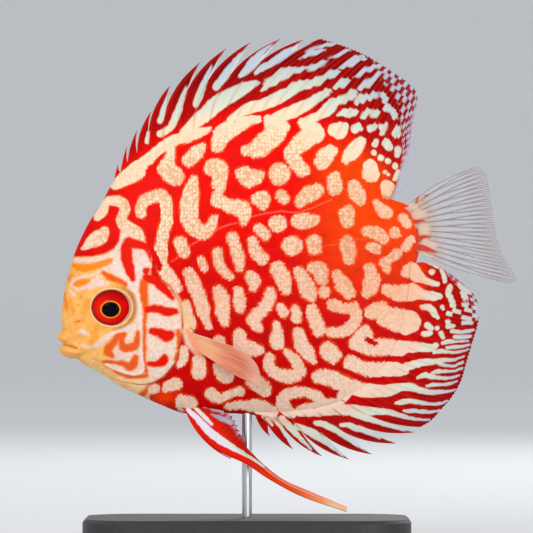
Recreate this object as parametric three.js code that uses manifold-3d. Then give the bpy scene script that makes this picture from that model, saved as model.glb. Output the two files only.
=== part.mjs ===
// A discus fish (Symphysodon), life size and still, swimming nose down on a plain display stand.
// Millimetres, +Z up. The head points to -X and the left flank to -Y. The origin is the middle of the
// stand's underside.
//
// The side view is drawn on a plan grid: x runs to the tail, y runs down, and one step is CELL mm.
import * as THREE from "three";
import { mergeVertices } from "three/addons/utils/BufferGeometryUtils.js";
import Module from "manifold-3d";

const wasm = await Module();
wasm.setup();

// Driving dimensions, mm
const TOTAL_LENGTH = 136; // lips to the middle of the tail fin's edge
const PLAN_LENGTH = 453.3; // the same length in plan steps
const CELL = TOTAL_LENGTH / PLAN_LENGTH;
const MAX_HALF_WIDTH = 10.6; // at the gill covers
const GAP = 0.3; // kept between touching nodes
const MEMBRANE_HALF = 0.27; // half the thickness of a fin's web
const BASE_SIZE = { length: 98, width: 62, height: 8, corner: 16, bevel: 1 };
const ROD_RADIUS = 1.5;

// Places on the plan
const STAND_X = 247;
const FLOOR_Y = 544;
const THICKEST = { x: 200, y: 295 };
const EYE = { x: 112, y: 307.5, radiusX: 5.95, radiusZ: 5.4, depth: 3.4, proud: 1.5 };
const NOSTRIL = { x: 77, y: 320, radius: 0.8, rim: 0.32 };

const planX = (x) => (x - STAND_X) * CELL;
const planZ = (y) => (FLOOR_Y - y) * CELL;
const at = (x, y, lateral = 0) => new THREE.Vector3(planX(x), lateral, planZ(y));

// The body's edge without fins, from above the lips over the back and round by the belly.
const BODY_EDGE = [
  [62, 330], [61.5, 318], [63, 300], [67, 280], [73, 258], [81, 238], [91, 219], [102, 202],
  [114, 181], [126, 170], [145, 157], [165, 143], [190, 132], [215, 125], [245, 118], [275, 116],
  [302, 121], [326, 133], [347, 148], [365, 164], [379, 181], [390, 198], [403, 203], [413, 209],
  [419, 222], [421, 238], [418, 256], [416, 264], [415, 285], [412, 310], [405, 340], [392, 366],
  [372, 388], [345, 403], [318, 411], [290, 415], [262, 415.5], [235, 413.5], [205, 413.5],
  [183, 413], [160, 404.5], [140, 395.5], [120, 386], [100, 373], [83, 364], [72, 355], [65, 343],
];

// How the flank falls away from its thickest place in a direction (degrees up from the tail's side):
// the edge's half thickness in mm, and the power of the fall, low where the flank is full.
const FALL = [
  { angle: 15, edge: 1.7, round: 1.22 },
  { angle: 40, edge: 1.3, round: 1.05 },
  { angle: 75, edge: 1.4, round: 0.88 },
  { angle: 115, edge: 1.9, round: 0.78 },
  { angle: 145, edge: 2.6, round: 0.68 },
  { angle: 175, edge: 3.0, round: 0.62 },
  { angle: 200, edge: 3.2, round: 0.6 },
  { angle: 228, edge: 2.4, round: 0.64 },
  { angle: 262, edge: 2.2, round: 0.68 },
  { angle: 300, edge: 1.4, round: 0.86 },
  { angle: 340, edge: 1.3, round: 1.1 },
];

// Where the head meets the trunk, down the gill cover's rear edge, and where the tail stalk begins.
const GILL_LINE = [
  [92, 165], [107, 190], [128, 218], [152, 248], [172, 275], [182, 300], [184, 322], [180, 346],
  [172, 366], [158, 383], [146, 398], [136, 425],
];
const STALK_LINE = [[376, 176], [388, 198], [396, 216], [400, 238], [406, 256], [430, 266]];
const GILL_CUT = [1.2, 0]; // plan steps between the two sides of a cut
const STALK_CUT = [1.2, -0.7];
// The cheek plate's rear edge, a low ridge ahead of the gill cover.
const CHEEK_EDGE = {
  path: [[142, 286], [143.5, 305], [144, 330], [145, 352], [141, 366], [129, 374], [112, 375], [97, 370]],
  radius: 0.55,
  sunk: 0.22,
};
const GILL_RAISE = { height: 0.55, start: 120, end: 178 }; // the gill cover stands proud of the trunk

const smooth = (t) => {
  const s = Math.min(1, Math.max(0, t));
  return s * s * (3 - 2 * s);
};
const mix = (a, b, t) => a + (b - a) * t;

// A smooth open curve through plan points, sampled at t from 0 to 1.
function planCurve(points) {
  const flat = points.map(([x, y]) => new THREE.Vector3(x, y, 0));
  const curve = new THREE.CatmullRomCurve3(flat, false, "centripetal");
  return (t) => {
    const p = curve.getPoint(t);
    return [p.x, p.y];
  };
}

const edgeCurve = new THREE.CatmullRomCurve3(
  BODY_EDGE.map(([x, y]) => new THREE.Vector3(x, y, 0)), true, "centripetal",
);
const EDGE_SAMPLES = 720;
const edgeTable = edgeCurve.getSpacedPoints(EDGE_SAMPLES).slice(0, EDGE_SAMPLES).map((p) => ({
  angle: Math.atan2(THICKEST.y - p.y, p.x - THICKEST.x),
  radius: Math.hypot(p.x - THICKEST.x, p.y - THICKEST.y),
})).sort((a, b) => a.angle - b.angle);

// The distance from the thickest place to the body's edge in a direction.
function edgeRadius(angle) {
  let low = 0;
  let high = edgeTable.length - 1;
  if (angle <= edgeTable[low].angle || angle >= edgeTable[high].angle) {
    return edgeTable[low].radius;
  }
  while (high - low > 1) {
    const middle = (low + high) >> 1;
    if (edgeTable[middle].angle <= angle) low = middle;
    else high = middle;
  }
  const a = edgeTable[low];
  const b = edgeTable[high];
  return mix(a.radius, b.radius, (angle - a.angle) / (b.angle - a.angle));
}

// The fall in a direction, blended between the rows of FALL.
function fallAt(angle) {
  const degrees = (THREE.MathUtils.radToDeg(angle) + 360) % 360;
  const next = FALL.findIndex((row) => row.angle > degrees);
  const b = next < 0 ? FALL[0] : FALL[next];
  const a = next <= 0 ? FALL[FALL.length - 1] : FALL[next - 1];
  const span = (b.angle - a.angle + 360) % 360;
  const t = smooth(((degrees - a.angle + 360) % 360) / span);
  return { edge: mix(a.edge, b.edge, t), round: mix(a.round, b.round, t) };
}

// Half the body's width in mm at a plan point.
function halfWidth(x, y) {
  const angle = Math.atan2(THICKEST.y - y, x - THICKEST.x);
  const share = Math.hypot(x - THICKEST.x, y - THICKEST.y) / edgeRadius(angle);
  if (share >= 1) return 0;
  const { edge, round } = fallAt(angle);
  const rim = edge * Math.sqrt(1 - share ** 14);
  return rim + (MAX_HALF_WIDTH - edge) * (1 - share ** 2) ** round;
}
const gillRaise = (x) =>
  GILL_RAISE.height * smooth((x - GILL_RAISE.start) / (GILL_RAISE.end - GILL_RAISE.start));

// Solids
function solid(geometry) {
  const bare = geometry.clone();
  bare.deleteAttribute("normal");
  bare.deleteAttribute("uv");
  const merged = mergeVertices(bare, 1e-4);
  return new wasm.Manifold(new wasm.Mesh({
    numProp: 3,
    vertProperties: new Float32Array(merged.attributes.position.array),
    triVerts: new Uint32Array(merged.index.array),
  }));
}
const joined = (solids) => solids.reduce((sum, s) => sum.add(s));
const largest = (s) => s.decompose().reduce((a, b) => (b.volume() > a.volume() ? b : a));

function geometryOf(points, faces) {
  const geometry = new THREE.BufferGeometry();
  geometry.setAttribute("position", new THREE.Float32BufferAttribute(points.flatMap((p) => [p.x, p.y, p.z]), 3));
  geometry.setIndex(faces.flat());
  return geometry;
}

// A closed sheet about a grid of middle points: half(i, j) mm thick on each side along normal.
function sheet(grid, half, normal) {
  const rows = grid.length;
  const columns = grid[0].length;
  const points = [];
  for (const side of [1, -1]) {
    grid.forEach((row, i) => row.forEach((p, j) => {
      points.push(p.clone().addScaledVector(normal, side * half(i, j)));
    }));
  }
  const faces = [];
  const index = (i, j, side) => side * rows * columns + i * columns + j;
  const quad = (a, b, c, d) => faces.push([a, b, c], [a, c, d]);
  for (let i = 0; i + 1 < rows; i++) {
    for (let j = 0; j + 1 < columns; j++) {
      quad(index(i, j, 0), index(i + 1, j, 0), index(i + 1, j + 1, 0), index(i, j + 1, 0));
      const [a, b, c, d] = [index(i, j, 1), index(i + 1, j, 1), index(i + 1, j + 1, 1), index(i, j + 1, 1)];
      faces.push([a, c, b], [a, d, c]);
    }
  }
  const rim = [];
  for (let j = 0; j < columns - 1; j++) rim.push([0, j]);
  for (let i = 0; i < rows - 1; i++) rim.push([i, columns - 1]);
  for (let j = columns - 1; j > 0; j--) rim.push([rows - 1, j]);
  for (let i = rows - 1; i > 0; i--) rim.push([i, 0]);
  rim.forEach(([i, j], k) => {
    const [m, n] = rim[(k + 1) % rim.length];
    quad(index(i, j, 0), index(m, n, 0), index(m, n, 1), index(i, j, 1));
  });
  const made = solid(geometryOf(points, faces));
  return made.volume() < 0 ? solid(geometryOf(points, faces.map(([a, b, c]) => [a, c, b]))) : made;
}

// A closed round tube through points, with a radius at each point.
function tube(points, radii, sides) {
  const curve = new THREE.CatmullRomCurve3(points);
  const frames = curve.computeFrenetFrames(points.length - 1, false);
  const ring = [];
  points.forEach((p, i) => {
    for (let k = 0; k < sides; k++) {
      const angle = (2 * Math.PI * k) / sides;
      ring.push(p.clone()
        .addScaledVector(frames.normals[i], Math.cos(angle) * radii[i])
        .addScaledVector(frames.binormals[i], Math.sin(angle) * radii[i]));
    }
  });
  const start = ring.push(points[0].clone()) - 1;
  const end = ring.push(points[points.length - 1].clone()) - 1;
  const faces = [];
  for (let k = 0; k < sides; k++) {
    const next = (k + 1) % sides;
    for (let i = 0; i + 1 < points.length; i++) {
      const [a, b, c, d] = [i * sides + k, i * sides + next, (i + 1) * sides + next, (i + 1) * sides + k];
      faces.push([a, b, c], [a, c, d]);
    }
    const last = (points.length - 1) * sides;
    faces.push([start, next, k], [end, last + k, last + next]);
  }
  const made = solid(geometryOf(ring, faces));
  return made.volume() < 0 ? solid(geometryOf(ring, faces.map(([a, b, c]) => [a, c, b]))) : made;
}

function ellipsoid(centre, radii, across, along) {
  const geometry = new THREE.SphereGeometry(1, across, along);
  geometry.rotateX(Math.PI / 2);
  geometry.scale(radii.x, radii.y, radii.z).translate(centre.x, centre.y, centre.z);
  return solid(geometry);
}

// Everything across the fish inside a plan polygon.
function slab(points) {
  const shape = new THREE.Shape(points.map(([x, y]) => new THREE.Vector2(planX(x), planZ(y))));
  const depth = 6 * MAX_HALF_WIDTH;
  const geometry = new THREE.ExtrudeGeometry(shape, { depth, bevelEnabled: false });
  geometry.rotateX(Math.PI / 2).translate(0, depth / 2, 0);
  return solid(geometry);
}

// Body: rings from the thickest place out to the edge, the same on both flanks.
const BODY_COLUMNS = 76;
const BODY_RINGS = [0.22, 0.43, 0.6, 0.74, 0.85, 0.925, 0.975];

function bodySolid(grow, raise) {
  const outline = edgeCurve.getSpacedPoints(BODY_COLUMNS).slice(0, BODY_COLUMNS);
  const points = [];
  const faces = [];
  const place = (x, y, side) => points.push(at(x, y, side * (halfWidth(x, y) + grow + raise(x)))) - 1;
  const rim = outline.map((p, k) => {
    const before = outline[(k + BODY_COLUMNS - 1) % BODY_COLUMNS];
    const after = outline[(k + 1) % BODY_COLUMNS];
    const out = new THREE.Vector2(after.y - before.y, before.x - after.x).normalize();
    return points.push(at(p.x + (out.x * grow) / CELL, p.y + (out.y * grow) / CELL)) - 1;
  });
  for (const side of [-1, 1]) {
    const middle = place(THICKEST.x, THICKEST.y, side);
    const rings = BODY_RINGS.map((share) => outline.map((p) =>
      place(mix(THICKEST.x, p.x, share), mix(THICKEST.y, p.y, share), side)));
    rings.push(rim);
    for (let k = 0; k < BODY_COLUMNS; k++) {
      const next = (k + 1) % BODY_COLUMNS;
      const turn = ([a, b, c]) => faces.push(side < 0 ? [a, b, c] : [a, c, b]);
      turn([middle, rings[0][k], rings[0][next]]);
      for (let r = 0; r + 1 < rings.length; r++) {
        turn([rings[r][k], rings[r + 1][k], rings[r + 1][next]]);
        turn([rings[r][k], rings[r + 1][next], rings[r][next]]);
      }
    }
  }
  const made = solid(geometryOf(points, faces));
  return made.volume() < 0 ? solid(geometryOf(points, faces.map(([a, b, c]) => [a, c, b]))) : made;
}

const none = () => 0;
const FAR = 700;
const NEAR = -100;
const shifted = (line, [byX, byY]) => line.map(([x, y]) => [x + byX, y + byY]);
const headSlab = slab([...GILL_LINE, [136, FAR], [NEAR, FAR], [NEAR, 165]]);
const stalkEnd = STALK_LINE[STALK_LINE.length - 1];
const trunkSlab = slab([
  ...shifted(GILL_LINE, GILL_CUT), [137, FAR], [FAR, FAR], [FAR, stalkEnd[1]], ...[...STALK_LINE].reverse(),
  [STALK_LINE[0][0], NEAR], [93, NEAR],
]);
const stalkLine = shifted(STALK_LINE, STALK_CUT);
const stalkSlab = slab([...stalkLine, [FAR, stalkLine[5][1]], [FAR, NEAR], [stalkLine[0][0], NEAR]]);

const plainBody = bodySolid(0, none);
const raisedBody = bodySolid(0, gillRaise);
const clearBody = bodySolid(GAP, gillRaise); // what grows from the body is cut clear of this

// Eyes
const eyeCentre = (side, grow = 0) => {
  const y = halfWidth(EYE.x, EYE.y) + EYE.proud - EYE.depth;
  return at(EYE.x, EYE.y, side * (y + grow));
};
const eyeSolid = (side, grow) => ellipsoid(
  eyeCentre(side), new THREE.Vector3(EYE.radiusX + grow, EYE.depth + grow, EYE.radiusZ + grow), 20, 8,
);
const EYE_RING = { spread: 1.09, tube: 0.6, steps: 20, sides: 5 };
function eyeRing(side) {
  const points = [];
  for (let k = 0; k <= EYE_RING.steps; k++) {
    const angle = (2 * Math.PI * k) / EYE_RING.steps;
    const x = EYE.x + (Math.cos(angle) * EYE.radiusX * EYE_RING.spread) / CELL;
    const y = EYE.y + (Math.sin(angle) * EYE.radiusZ * EYE_RING.spread) / CELL;
    points.push(at(x, y, side * halfWidth(x, y)));
  }
  return ringTube(points.slice(0, -1), EYE_RING.tube, EYE_RING.sides);
}

// A closed ring of tube round a loop of points, made to lie in the flank.
function ringTube(loop, radius, sides) {
  const middle = loop.reduce((sum, p) => sum.add(p), new THREE.Vector3()).divideScalar(loop.length);
  const points = [];
  const faces = [];
  loop.forEach((p) => {
    const out = p.clone().sub(middle);
    out.y = 0;
    out.normalize();
    for (let k = 0; k < sides; k++) {
      const angle = (2 * Math.PI * k) / sides;
      points.push(p.clone().addScaledVector(out, Math.cos(angle) * radius)
        .add(new THREE.Vector3(0, Math.sin(angle) * radius, 0)));
    }
  });
  loop.forEach((_, i) => {
    const m = (i + 1) % loop.length;
    for (let k = 0; k < sides; k++) {
      const n = (k + 1) % sides;
      faces.push([i * sides + k, m * sides + k, m * sides + n], [i * sides + k, m * sides + n, i * sides + n]);
    }
  });
  const made = solid(geometryOf(points, faces));
  return made.volume() < 0 ? solid(geometryOf(points, faces.map(([a, b, c]) => [a, c, b]))) : made;
}

function nostril(side) {
  const loop = [];
  const steps = 8;
  for (let k = 0; k < steps; k++) {
    const angle = (2 * Math.PI * k) / steps;
    const x = NOSTRIL.x + (Math.cos(angle) * NOSTRIL.radius) / CELL;
    const y = NOSTRIL.y + (Math.sin(angle) * NOSTRIL.radius) / CELL;
    loop.push(at(x, y, side * (halfWidth(x, y) + 0.05)));
  }
  return ringTube(loop, NOSTRIL.rim, 5);
}

// Lips: each a bent roll from one corner of the mouth round the front to the other.
const UPPER_LIP = { path: [[78, 349], [71, 342], [65, 337.5], [62.5, 336]], radii: [1.2, 1.6, 1.75, 1.8] };
const LOWER_LIP = { path: [[79, 353], [72, 352], [66.5, 350.7], [64.5, 350.2]], radii: [1.2, 1.6, 1.75, 1.8] };
const LIP_LATERAL = [4.3, 3.6, 2.1, 0];
function lip({ path, radii }) {
  const half = path.map(([x, y], k) => at(x, y, -LIP_LATERAL[k]));
  const other = path.slice(0, -1).reverse().map(([x, y], k) => at(x, y, LIP_LATERAL[path.length - 2 - k]));
  return tube([...half, ...other], [...radii, ...radii.slice(0, -1).reverse()], 8);
}

function cheekEdge(side) {
  const { path, radius, sunk } = CHEEK_EDGE;
  const points = path.map(([x, y]) => at(x, y, side * (halfWidth(x, y) + gillRaise(x) - sunk)));
  const radii = path.map((_, k) => radius * (0.35 + 0.65 * Math.sin((Math.PI * (k + 0.5)) / path.length)));
  return tube(points, radii, 5);
}

function headSolid() {
  const flesh = joined([raisedBody.intersect(headSlab), lip(UPPER_LIP), lip(LOWER_LIP)]);
  const rings = [-1, 1].flatMap((side) => [eyeRing(side), nostril(side), cheekEdge(side)]);
  const whole = joined([flesh, ...rings]);
  return largest(whole.subtract(eyeSolid(-1, GAP)).subtract(eyeSolid(1, GAP)));
}

// Fin rays, from a base on the body to a tip, bowed to one side: a plan point at share t.
function rayPoint(ray, t) {
  const { base, tip, bow } = ray;
  const chord = [tip[0] - base[0], tip[1] - base[1]];
  const control = [(base[0] + tip[0]) / 2 + chord[1] * bow, (base[1] + tip[1]) / 2 - chord[0] * bow];
  const s = 1 - t;
  return [0, 1].map((k) => s * s * base[k] + 2 * s * t * control[k] + t * t * tip[k]);
}

// A ray's tube, sunk into the body by a little at its root.
const SINK = 7; // plan steps
function sunkRay(ray) {
  const start = rayPoint(ray, 0);
  const on = rayPoint(ray, 0.05);
  const length = Math.hypot(on[0] - start[0], on[1] - start[1]);
  const back = [start[0] - ((on[0] - start[0]) * SINK) / length, start[1] - ((on[1] - start[1]) * SINK) / length];
  return { ...ray, root: back };
}
const along = (ray, t) => (t < 0 ? [0, 1].map((k) => mix(ray.base[k], ray.root[k], -t)) : rayPoint(ray, t));

function spineTube(ray, thick, thin, rows) {
  const shares = [-1, ...Array.from({ length: rows + 1 }, (_, k) => k / rows)];
  const points = shares.map((t) => at(...along(ray, t)));
  const radii = shares.map((t) => mix(thick, thin, Math.max(0, t)));
  return tube(points, radii, 4);
}

// The web behind a spine, cut in between its tip and the notch on the next spine.
function web(ray, next, notch, dip, rows, columns) {
  const grid = [];
  for (let i = -1; i <= rows; i++) {
    const t = i < 0 ? -1 : i / rows;
    const a = along(ray, i < 0 ? -1 : t * 0.97);
    const b = along(next, i < 0 ? -1 : t * notch);
    const row = [];
    for (let j = 0; j <= columns; j++) {
      const v = mix(0.04, 0.97, j / columns);
      const down = dip * Math.max(0, t) ** 2 * Math.sin(Math.PI * v ** 0.75);
      const along0 = [a[0] - ray.base[0], a[1] - ray.base[1]];
      row.push(at(mix(a[0], b[0], v) - along0[0] * down, mix(a[1], b[1], v) - along0[1] * down));
    }
    grid.push(row);
  }
  return sheet(grid, () => MEMBRANE_HALF, new THREE.Vector3(0, 1, 0));
}

// A soft-rayed web with its rays raised on both faces, from a row of rays.
const RIDGE_SHOULDER = 0.24;
const ROOT_THICK = 0.85; // extra half thickness where the fin leaves the flesh
function rayedSheet(rays, rows, ridge) {
  const columns = [];
  rays.forEach((ray, k) => {
    columns.push({ ray, crest: 1 });
    if (k + 1 < rays.length) {
      for (const v of [RIDGE_SHOULDER, 1 - RIDGE_SHOULDER]) {
        const blend = (key) => [0, 1].map((c) => mix(ray[key][c], rays[k + 1][key][c], v));
        columns.push({
          ray: { base: blend("base"), tip: blend("tip"), root: blend("root"), bow: mix(ray.bow, rays[k + 1].bow, v) },
          crest: 0,
        });
      }
    }
  });
  const shares = [-1, ...Array.from({ length: rows + 1 }, (_, k) => k / rows)];
  const grid = shares.map((t) => columns.map(({ ray }) => at(...along(ray, t))));
  const half = (i, j) => {
    const t = Math.max(0, shares[i]);
    return MEMBRANE_HALF + columns[j].crest * ridge * (1 - 0.7 * t) + ROOT_THICK * (1 - smooth(t / 0.3));
  };
  return sheet(grid, half, new THREE.Vector3(0, 1, 0));
}

const softRays = (count, base, tip, bowStart, bowEnd) => Array.from({ length: count }, (_, k) => {
  const t = k / (count - 1);
  return sunkRay({ base: base(t), tip: tip(t), bow: mix(bowStart, bowEnd, t) });
});

// Dorsal fin: spines with free, swept tips, then the soft part.
const DORSAL_SPINES = [
  [[116, 179], [118, 165]], [[122, 174], [127, 147]], [[129, 167], [137, 131]], [[139, 160], [151, 112]],
  [[151, 153], [170, 86]], [[164, 144], [200, 63]], [[178, 137], [226, 49]], [[193, 131], [250, 43]],
  [[208, 127], [280, 39.5]], [[222, 124], [303, 40]],
];
const DORSAL_BOW = { first: 0.04, later: 0.27 };
const DORSAL_NOTCH = { first: 0.12, last: 0.7, dip: 0.16 };
const DORSAL_SOFT = {
  base: [[236, 120], [262, 117], [290, 118], [318, 128], [343, 145], [364, 163], [380, 182], [389, 197]],
  tip: [
    [321, 38.5], [345, 46], [368, 56], [391, 70], [408, 82], [417, 92], [418, 104], [415.5, 122],
    [414, 142], [412, 160], [409, 176], [402, 190], [393, 199],
  ],
  rays: 15,
  bow: [0.22, 0.02],
};

function spinyPart(spines, bows, notches, next, thick) {
  const rays = spines.map(([base, tip], k) => sunkRay({ base, tip, bow: mix(bows.first, bows.later, smooth(k / 5)) }));
  const pieces = rays.map((ray) => spineTube(ray, thick, 0.26, 4));
  [...rays, next].slice(1).forEach((after, k) => {
    const notch = mix(notches.first, notches.last, k / (rays.length - 1));
    pieces.push(web(rays[k], after, notch, mix(notches.dip, 0.05, k / rays.length), 4, 2));
  });
  return joined(pieces);
}

function dorsalFin() {
  const rays = softRays(
    DORSAL_SOFT.rays, planCurve(DORSAL_SOFT.base), planCurve(DORSAL_SOFT.tip), ...DORSAL_SOFT.bow,
  );
  const soft = rayedSheet(rays, 5, 0.3);
  const first = spineTube(rays[0], 0.55, 0.3, 5);
  const spiny = spinyPart(DORSAL_SPINES, DORSAL_BOW, DORSAL_NOTCH, rays[0], 0.6);
  return largest(joined([soft, first, spiny]).subtract(clearBody));
}

// Anal fin: the same plan turned over, with fewer spines.
const ANAL_SPINES = [
  [[257, 416], [270, 436]], [[265, 416], [293, 449]], [[277, 416], [322, 456]], [[290, 415], [349, 459]],
  [[304, 413], [372, 454]], [[318, 411], [396, 443]], [[332, 407], [414, 432]],
];
const ANAL_BOW = { first: -0.16, later: -0.22 };
const ANAL_NOTCH = { first: 0.35, last: 0.84, dip: 0.12 };
const ANAL_SOFT = {
  base: [[346, 402], [365, 392], [384, 376], [398, 356], [407, 332], [413, 306], [416, 284], [417, 262.5]],
  tip: [
    [431, 421], [443, 408], [453, 396], [461, 382], [467, 362], [473, 342], [478, 325], [480, 310],
    [475, 296], [463, 283.5], [450, 273.5], [436, 265.5], [424, 262],
  ],
  rays: 15,
  bow: [-0.16, 0.0],
};

function analFin() {
  const rays = softRays(ANAL_SOFT.rays, planCurve(ANAL_SOFT.base), planCurve(ANAL_SOFT.tip), ...ANAL_SOFT.bow);
  const soft = rayedSheet(rays, 5, 0.3);
  const first = spineTube(rays[0], 0.5, 0.3, 5);
  const spiny = spinyPart(ANAL_SPINES, ANAL_BOW, ANAL_NOTCH, rays[0], 0.55);
  return largest(joined([soft, first, spiny]).subtract(clearBody));
}

// Tail fin: a spread fan.
const TAIL_FIN = {
  base: [[408, 205], [415, 213], [419, 224], [420.5, 238], [420, 247], [419, 252.5]],
  tip: [
    [474, 166.5], [483, 169], [488, 180], [491, 197], [493.5, 215], [496.5, 233], [501, 250], [508, 263],
    [515, 274], [516.5, 281], [509, 284],
  ],
  rays: 13,
  bow: [0.1, -0.07],
};
function tailFin() {
  const rays = softRays(TAIL_FIN.rays, planCurve(TAIL_FIN.base), planCurve(TAIL_FIN.tip), ...TAIL_FIN.bow);
  return largest(rayedSheet(rays, 5, 0.25).subtract(clearBody));
}

// The pectoral fin: a fan of rays leaving a root on the flank, placed in three dimensions.
function fannedFin({ root, tips, sink, rows, ridge, thick }, side) {
  const count = tips.length;
  const normal = new THREE.Vector3(0, 1, 0);
  const columns = [];
  for (let k = 0; k < count; k++) {
    columns.push({ at: k, crest: 1 });
    if (k + 1 < count) {
      columns.push({ at: k + RIDGE_SHOULDER, crest: 0 }, { at: k + 1 - RIDGE_SHOULDER, crest: 0 });
    }
  }
  const pick = (list, k, c) => {
    const low = Math.min(Math.floor(k), count - 1);
    const high = Math.min(low + 1, count - 1);
    return mix(list[low][c], list[high][c], k - low);
  };
  const roots = tips.map((_, k) => [0, 1, 2].map((c) => mix(root[0][c], root[1][c], k / (count - 1))));
  const shares = [-1, ...Array.from({ length: rows + 1 }, (_, k) => k / rows)];
  const grid = shares.map((t) => columns.map(({ at: k }) => {
    const base = [0, 1, 2].map((c) => pick(roots, k, c));
    const [tipX, tipY, lateral, bow] = [0, 1, 2, 3].map((c) => pick(tips, k, c));
    if (t < 0) return at(base[0] + sink[0], base[1] + sink[1], side * (base[2] + sink[2]));
    const [x, y] = rayPoint({ base, tip: [tipX, tipY], bow }, t);
    return at(x, y, side * mix(base[2], lateral, Math.sin((Math.PI / 2) * t)));
  }));
  const half = (i, j) => {
    const t = Math.max(0, shares[i]);
    return MEMBRANE_HALF + columns[j].crest * ridge * (1 - 0.6 * t) + thick * (1 - smooth(t / 0.35));
  };
  return sheet(grid, half, normal);
}

// Plan x, plan y and distance from the middle plane in mm, with the ray's bow at each tip.
const PECTORAL = {
  root: [[190, 332, 10.4], [199, 351, 10.2]],
  tips: [
    [238, 348, 13.4, 0.03], [250, 356, 13.8, 0.03], [257, 364, 14, 0.03], [260.5, 375, 13.8, 0],
    [260, 385, 13.4, 0], [247, 380, 13, 0], [236, 375, 12.6, 0],
  ],
  sink: [-4, -1, -1.6],
  rows: 4,
  ridge: 0.16,
  thick: 0.5,
};

// The pelvic fin: its leading and its trailing edge, root to filament tip, and the spine in front.
const PELVIC = {
  leading: [
    [186, 410], [192, 420], [201, 434], [211, 446], [226, 454.5], [246, 463.5], [268, 478], [300, 494], [345, 509],
  ],
  trailing: [
    [205, 407], [229, 413], [238, 427], [243, 440], [251, 452], [263, 464.5], [284, 480.5], [311, 493.5],
    [347, 510.5],
  ],
  sink: [3, -9],
  lateral: { root: 2.9, tip: 8.6, sunk: 2.4 },
  rays: 5,
  ridge: 0.2,
  thick: 0.45,
  spine: { base: [187, 411], tip: [231, 458], bow: -0.2, thick: 0.5, thin: 0.26 },
};

function pelvicFin(side) {
  const { leading, trailing, sink, lateral, rays, ridge, thick, spine } = PELVIC;
  const last = leading.length - 1;
  const columns = [];
  for (let k = 0; k < rays; k++) {
    columns.push({ v: k / (rays - 1), crest: 1 });
    if (k + 1 < rays) {
      for (const v of [RIDGE_SHOULDER, 1 - RIDGE_SHOULDER]) columns.push({ v: (k + v) / (rays - 1), crest: 0 });
    }
  }
  const away = (t) => side * mix(lateral.root, lateral.tip, Math.sin((Math.PI / 2) * t));
  const grid = leading.map((front, i) => columns.map(({ v }) =>
    at(mix(front[0], trailing[i][0], v), mix(front[1], trailing[i][1], v), away(i / last))));
  grid.unshift(columns.map(({ v }) => at(
    mix(leading[0][0], trailing[0][0], v) + sink[0], mix(leading[0][1], trailing[0][1], v) + sink[1],
    side * lateral.sunk,
  )));
  const half = (i, j) => {
    const t = Math.max(0, i - 1) / last;
    return MEMBRANE_HALF + columns[j].crest * ridge * (1 - 0.8 * t) + thick * (1 - smooth(t / 0.35));
  };
  const web = sheet(grid, half, new THREE.Vector3(0, 1, 0));
  const shares = [0, 0.25, 0.5, 0.75, 1];
  const points = shares.map((t) => at(...rayPoint(spine, t), away(t * 0.5)));
  const rod = tube(points, shares.map((t) => mix(spine.thick, spine.thin, t)), 4);
  return largest(joined([web, rod]).subtract(clearBody));
}

const pectoralFin = (side) => largest(fannedFin(PECTORAL, side).subtract(clearBody));

// Stand: a bevelled plate and one rod up to the belly.
function standBase() {
  const { length, width, height, corner, bevel } = BASE_SIZE;
  const [a, b] = [length / 2 - bevel, width / 2 - bevel];
  const shape = new THREE.Shape();
  shape.moveTo(-a + corner, -b).lineTo(a - corner, -b).absarc(a - corner, -b + corner, corner, -Math.PI / 2, 0);
  shape.lineTo(a, b - corner).absarc(a - corner, b - corner, corner, 0, Math.PI / 2);
  shape.lineTo(-a + corner, b).absarc(-a + corner, b - corner, corner, Math.PI / 2, Math.PI);
  shape.lineTo(-a, -b + corner).absarc(-a + corner, -b + corner, corner, Math.PI, 1.5 * Math.PI);
  const geometry = new THREE.ExtrudeGeometry(shape, {
    depth: height - 2 * bevel, bevelThickness: bevel, bevelSize: bevel, bevelSegments: 1, curveSegments: 7,
  });
  geometry.translate(0, 0, bevel);
  return solid(geometry);
}

function standRod() {
  const bottom = BASE_SIZE.height + GAP;
  const top = planZ(400);
  const geometry = new THREE.CylinderGeometry(ROD_RADIUS, ROD_RADIUS, top - bottom, 16);
  geometry.rotateX(Math.PI / 2).translate(0, 0, (top + bottom) / 2);
  return largest(solid(geometry).subtract(clearBody));
}

// Materials
const SKIN = { color: 0xe8542a, roughness: 0.42, metalness: 0 };
const FIN = { color: 0xc9331f, roughness: 0.5, metalness: 0 };
const CLEAR_FIN = { color: 0xb79a94, roughness: 0.45, metalness: 0 };
const EYE_RED = { color: 0xd01212, roughness: 0.12, metalness: 0 };
const STAND = { color: 0x22201f, roughness: 0.5, metalness: 0 };
const STEEL = { color: 0xb9bcc0, roughness: 0.3, metalness: 1 };

function node(name, made, finish) {
  const { vertProperties, triVerts, numProp } = made.getMesh();
  const points = [];
  for (let k = 0; k < vertProperties.length; k += numProp) points.push(...vertProperties.subarray(k, k + 3));
  const geometry = new THREE.BufferGeometry();
  geometry.setAttribute("position", new THREE.Float32BufferAttribute(points, 3));
  geometry.setIndex(Array.from(triVerts));
  geometry.computeVertexNormals();
  const mesh = new THREE.Mesh(geometry, new THREE.MeshStandardMaterial(finish));
  mesh.name = name;
  return mesh;
}

const body = new THREE.Group();
body.add(node("head", headSolid(), SKIN));
body.add(node("trunk", largest(plainBody.intersect(trunkSlab)), SKIN));
body.add(node("tail_stalk", largest(plainBody.intersect(stalkSlab)), SKIN));

const fins = new THREE.Group();
fins.add(node("dorsal_fin", dorsalFin(), FIN));
fins.add(node("anal_fin", analFin(), FIN));
fins.add(node("tail_fin", tailFin(), CLEAR_FIN));
for (const [name, side] of [["left", -1], ["right", 1]]) {
  body.add(node(`eye_${name}`, eyeSolid(side, 0), EYE_RED));
  fins.add(node(`pectoral_fin_${name}`, pectoralFin(side), CLEAR_FIN));
  fins.add(node(`pelvic_fin_${name}`, pelvicFin(side), FIN));
}

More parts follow.
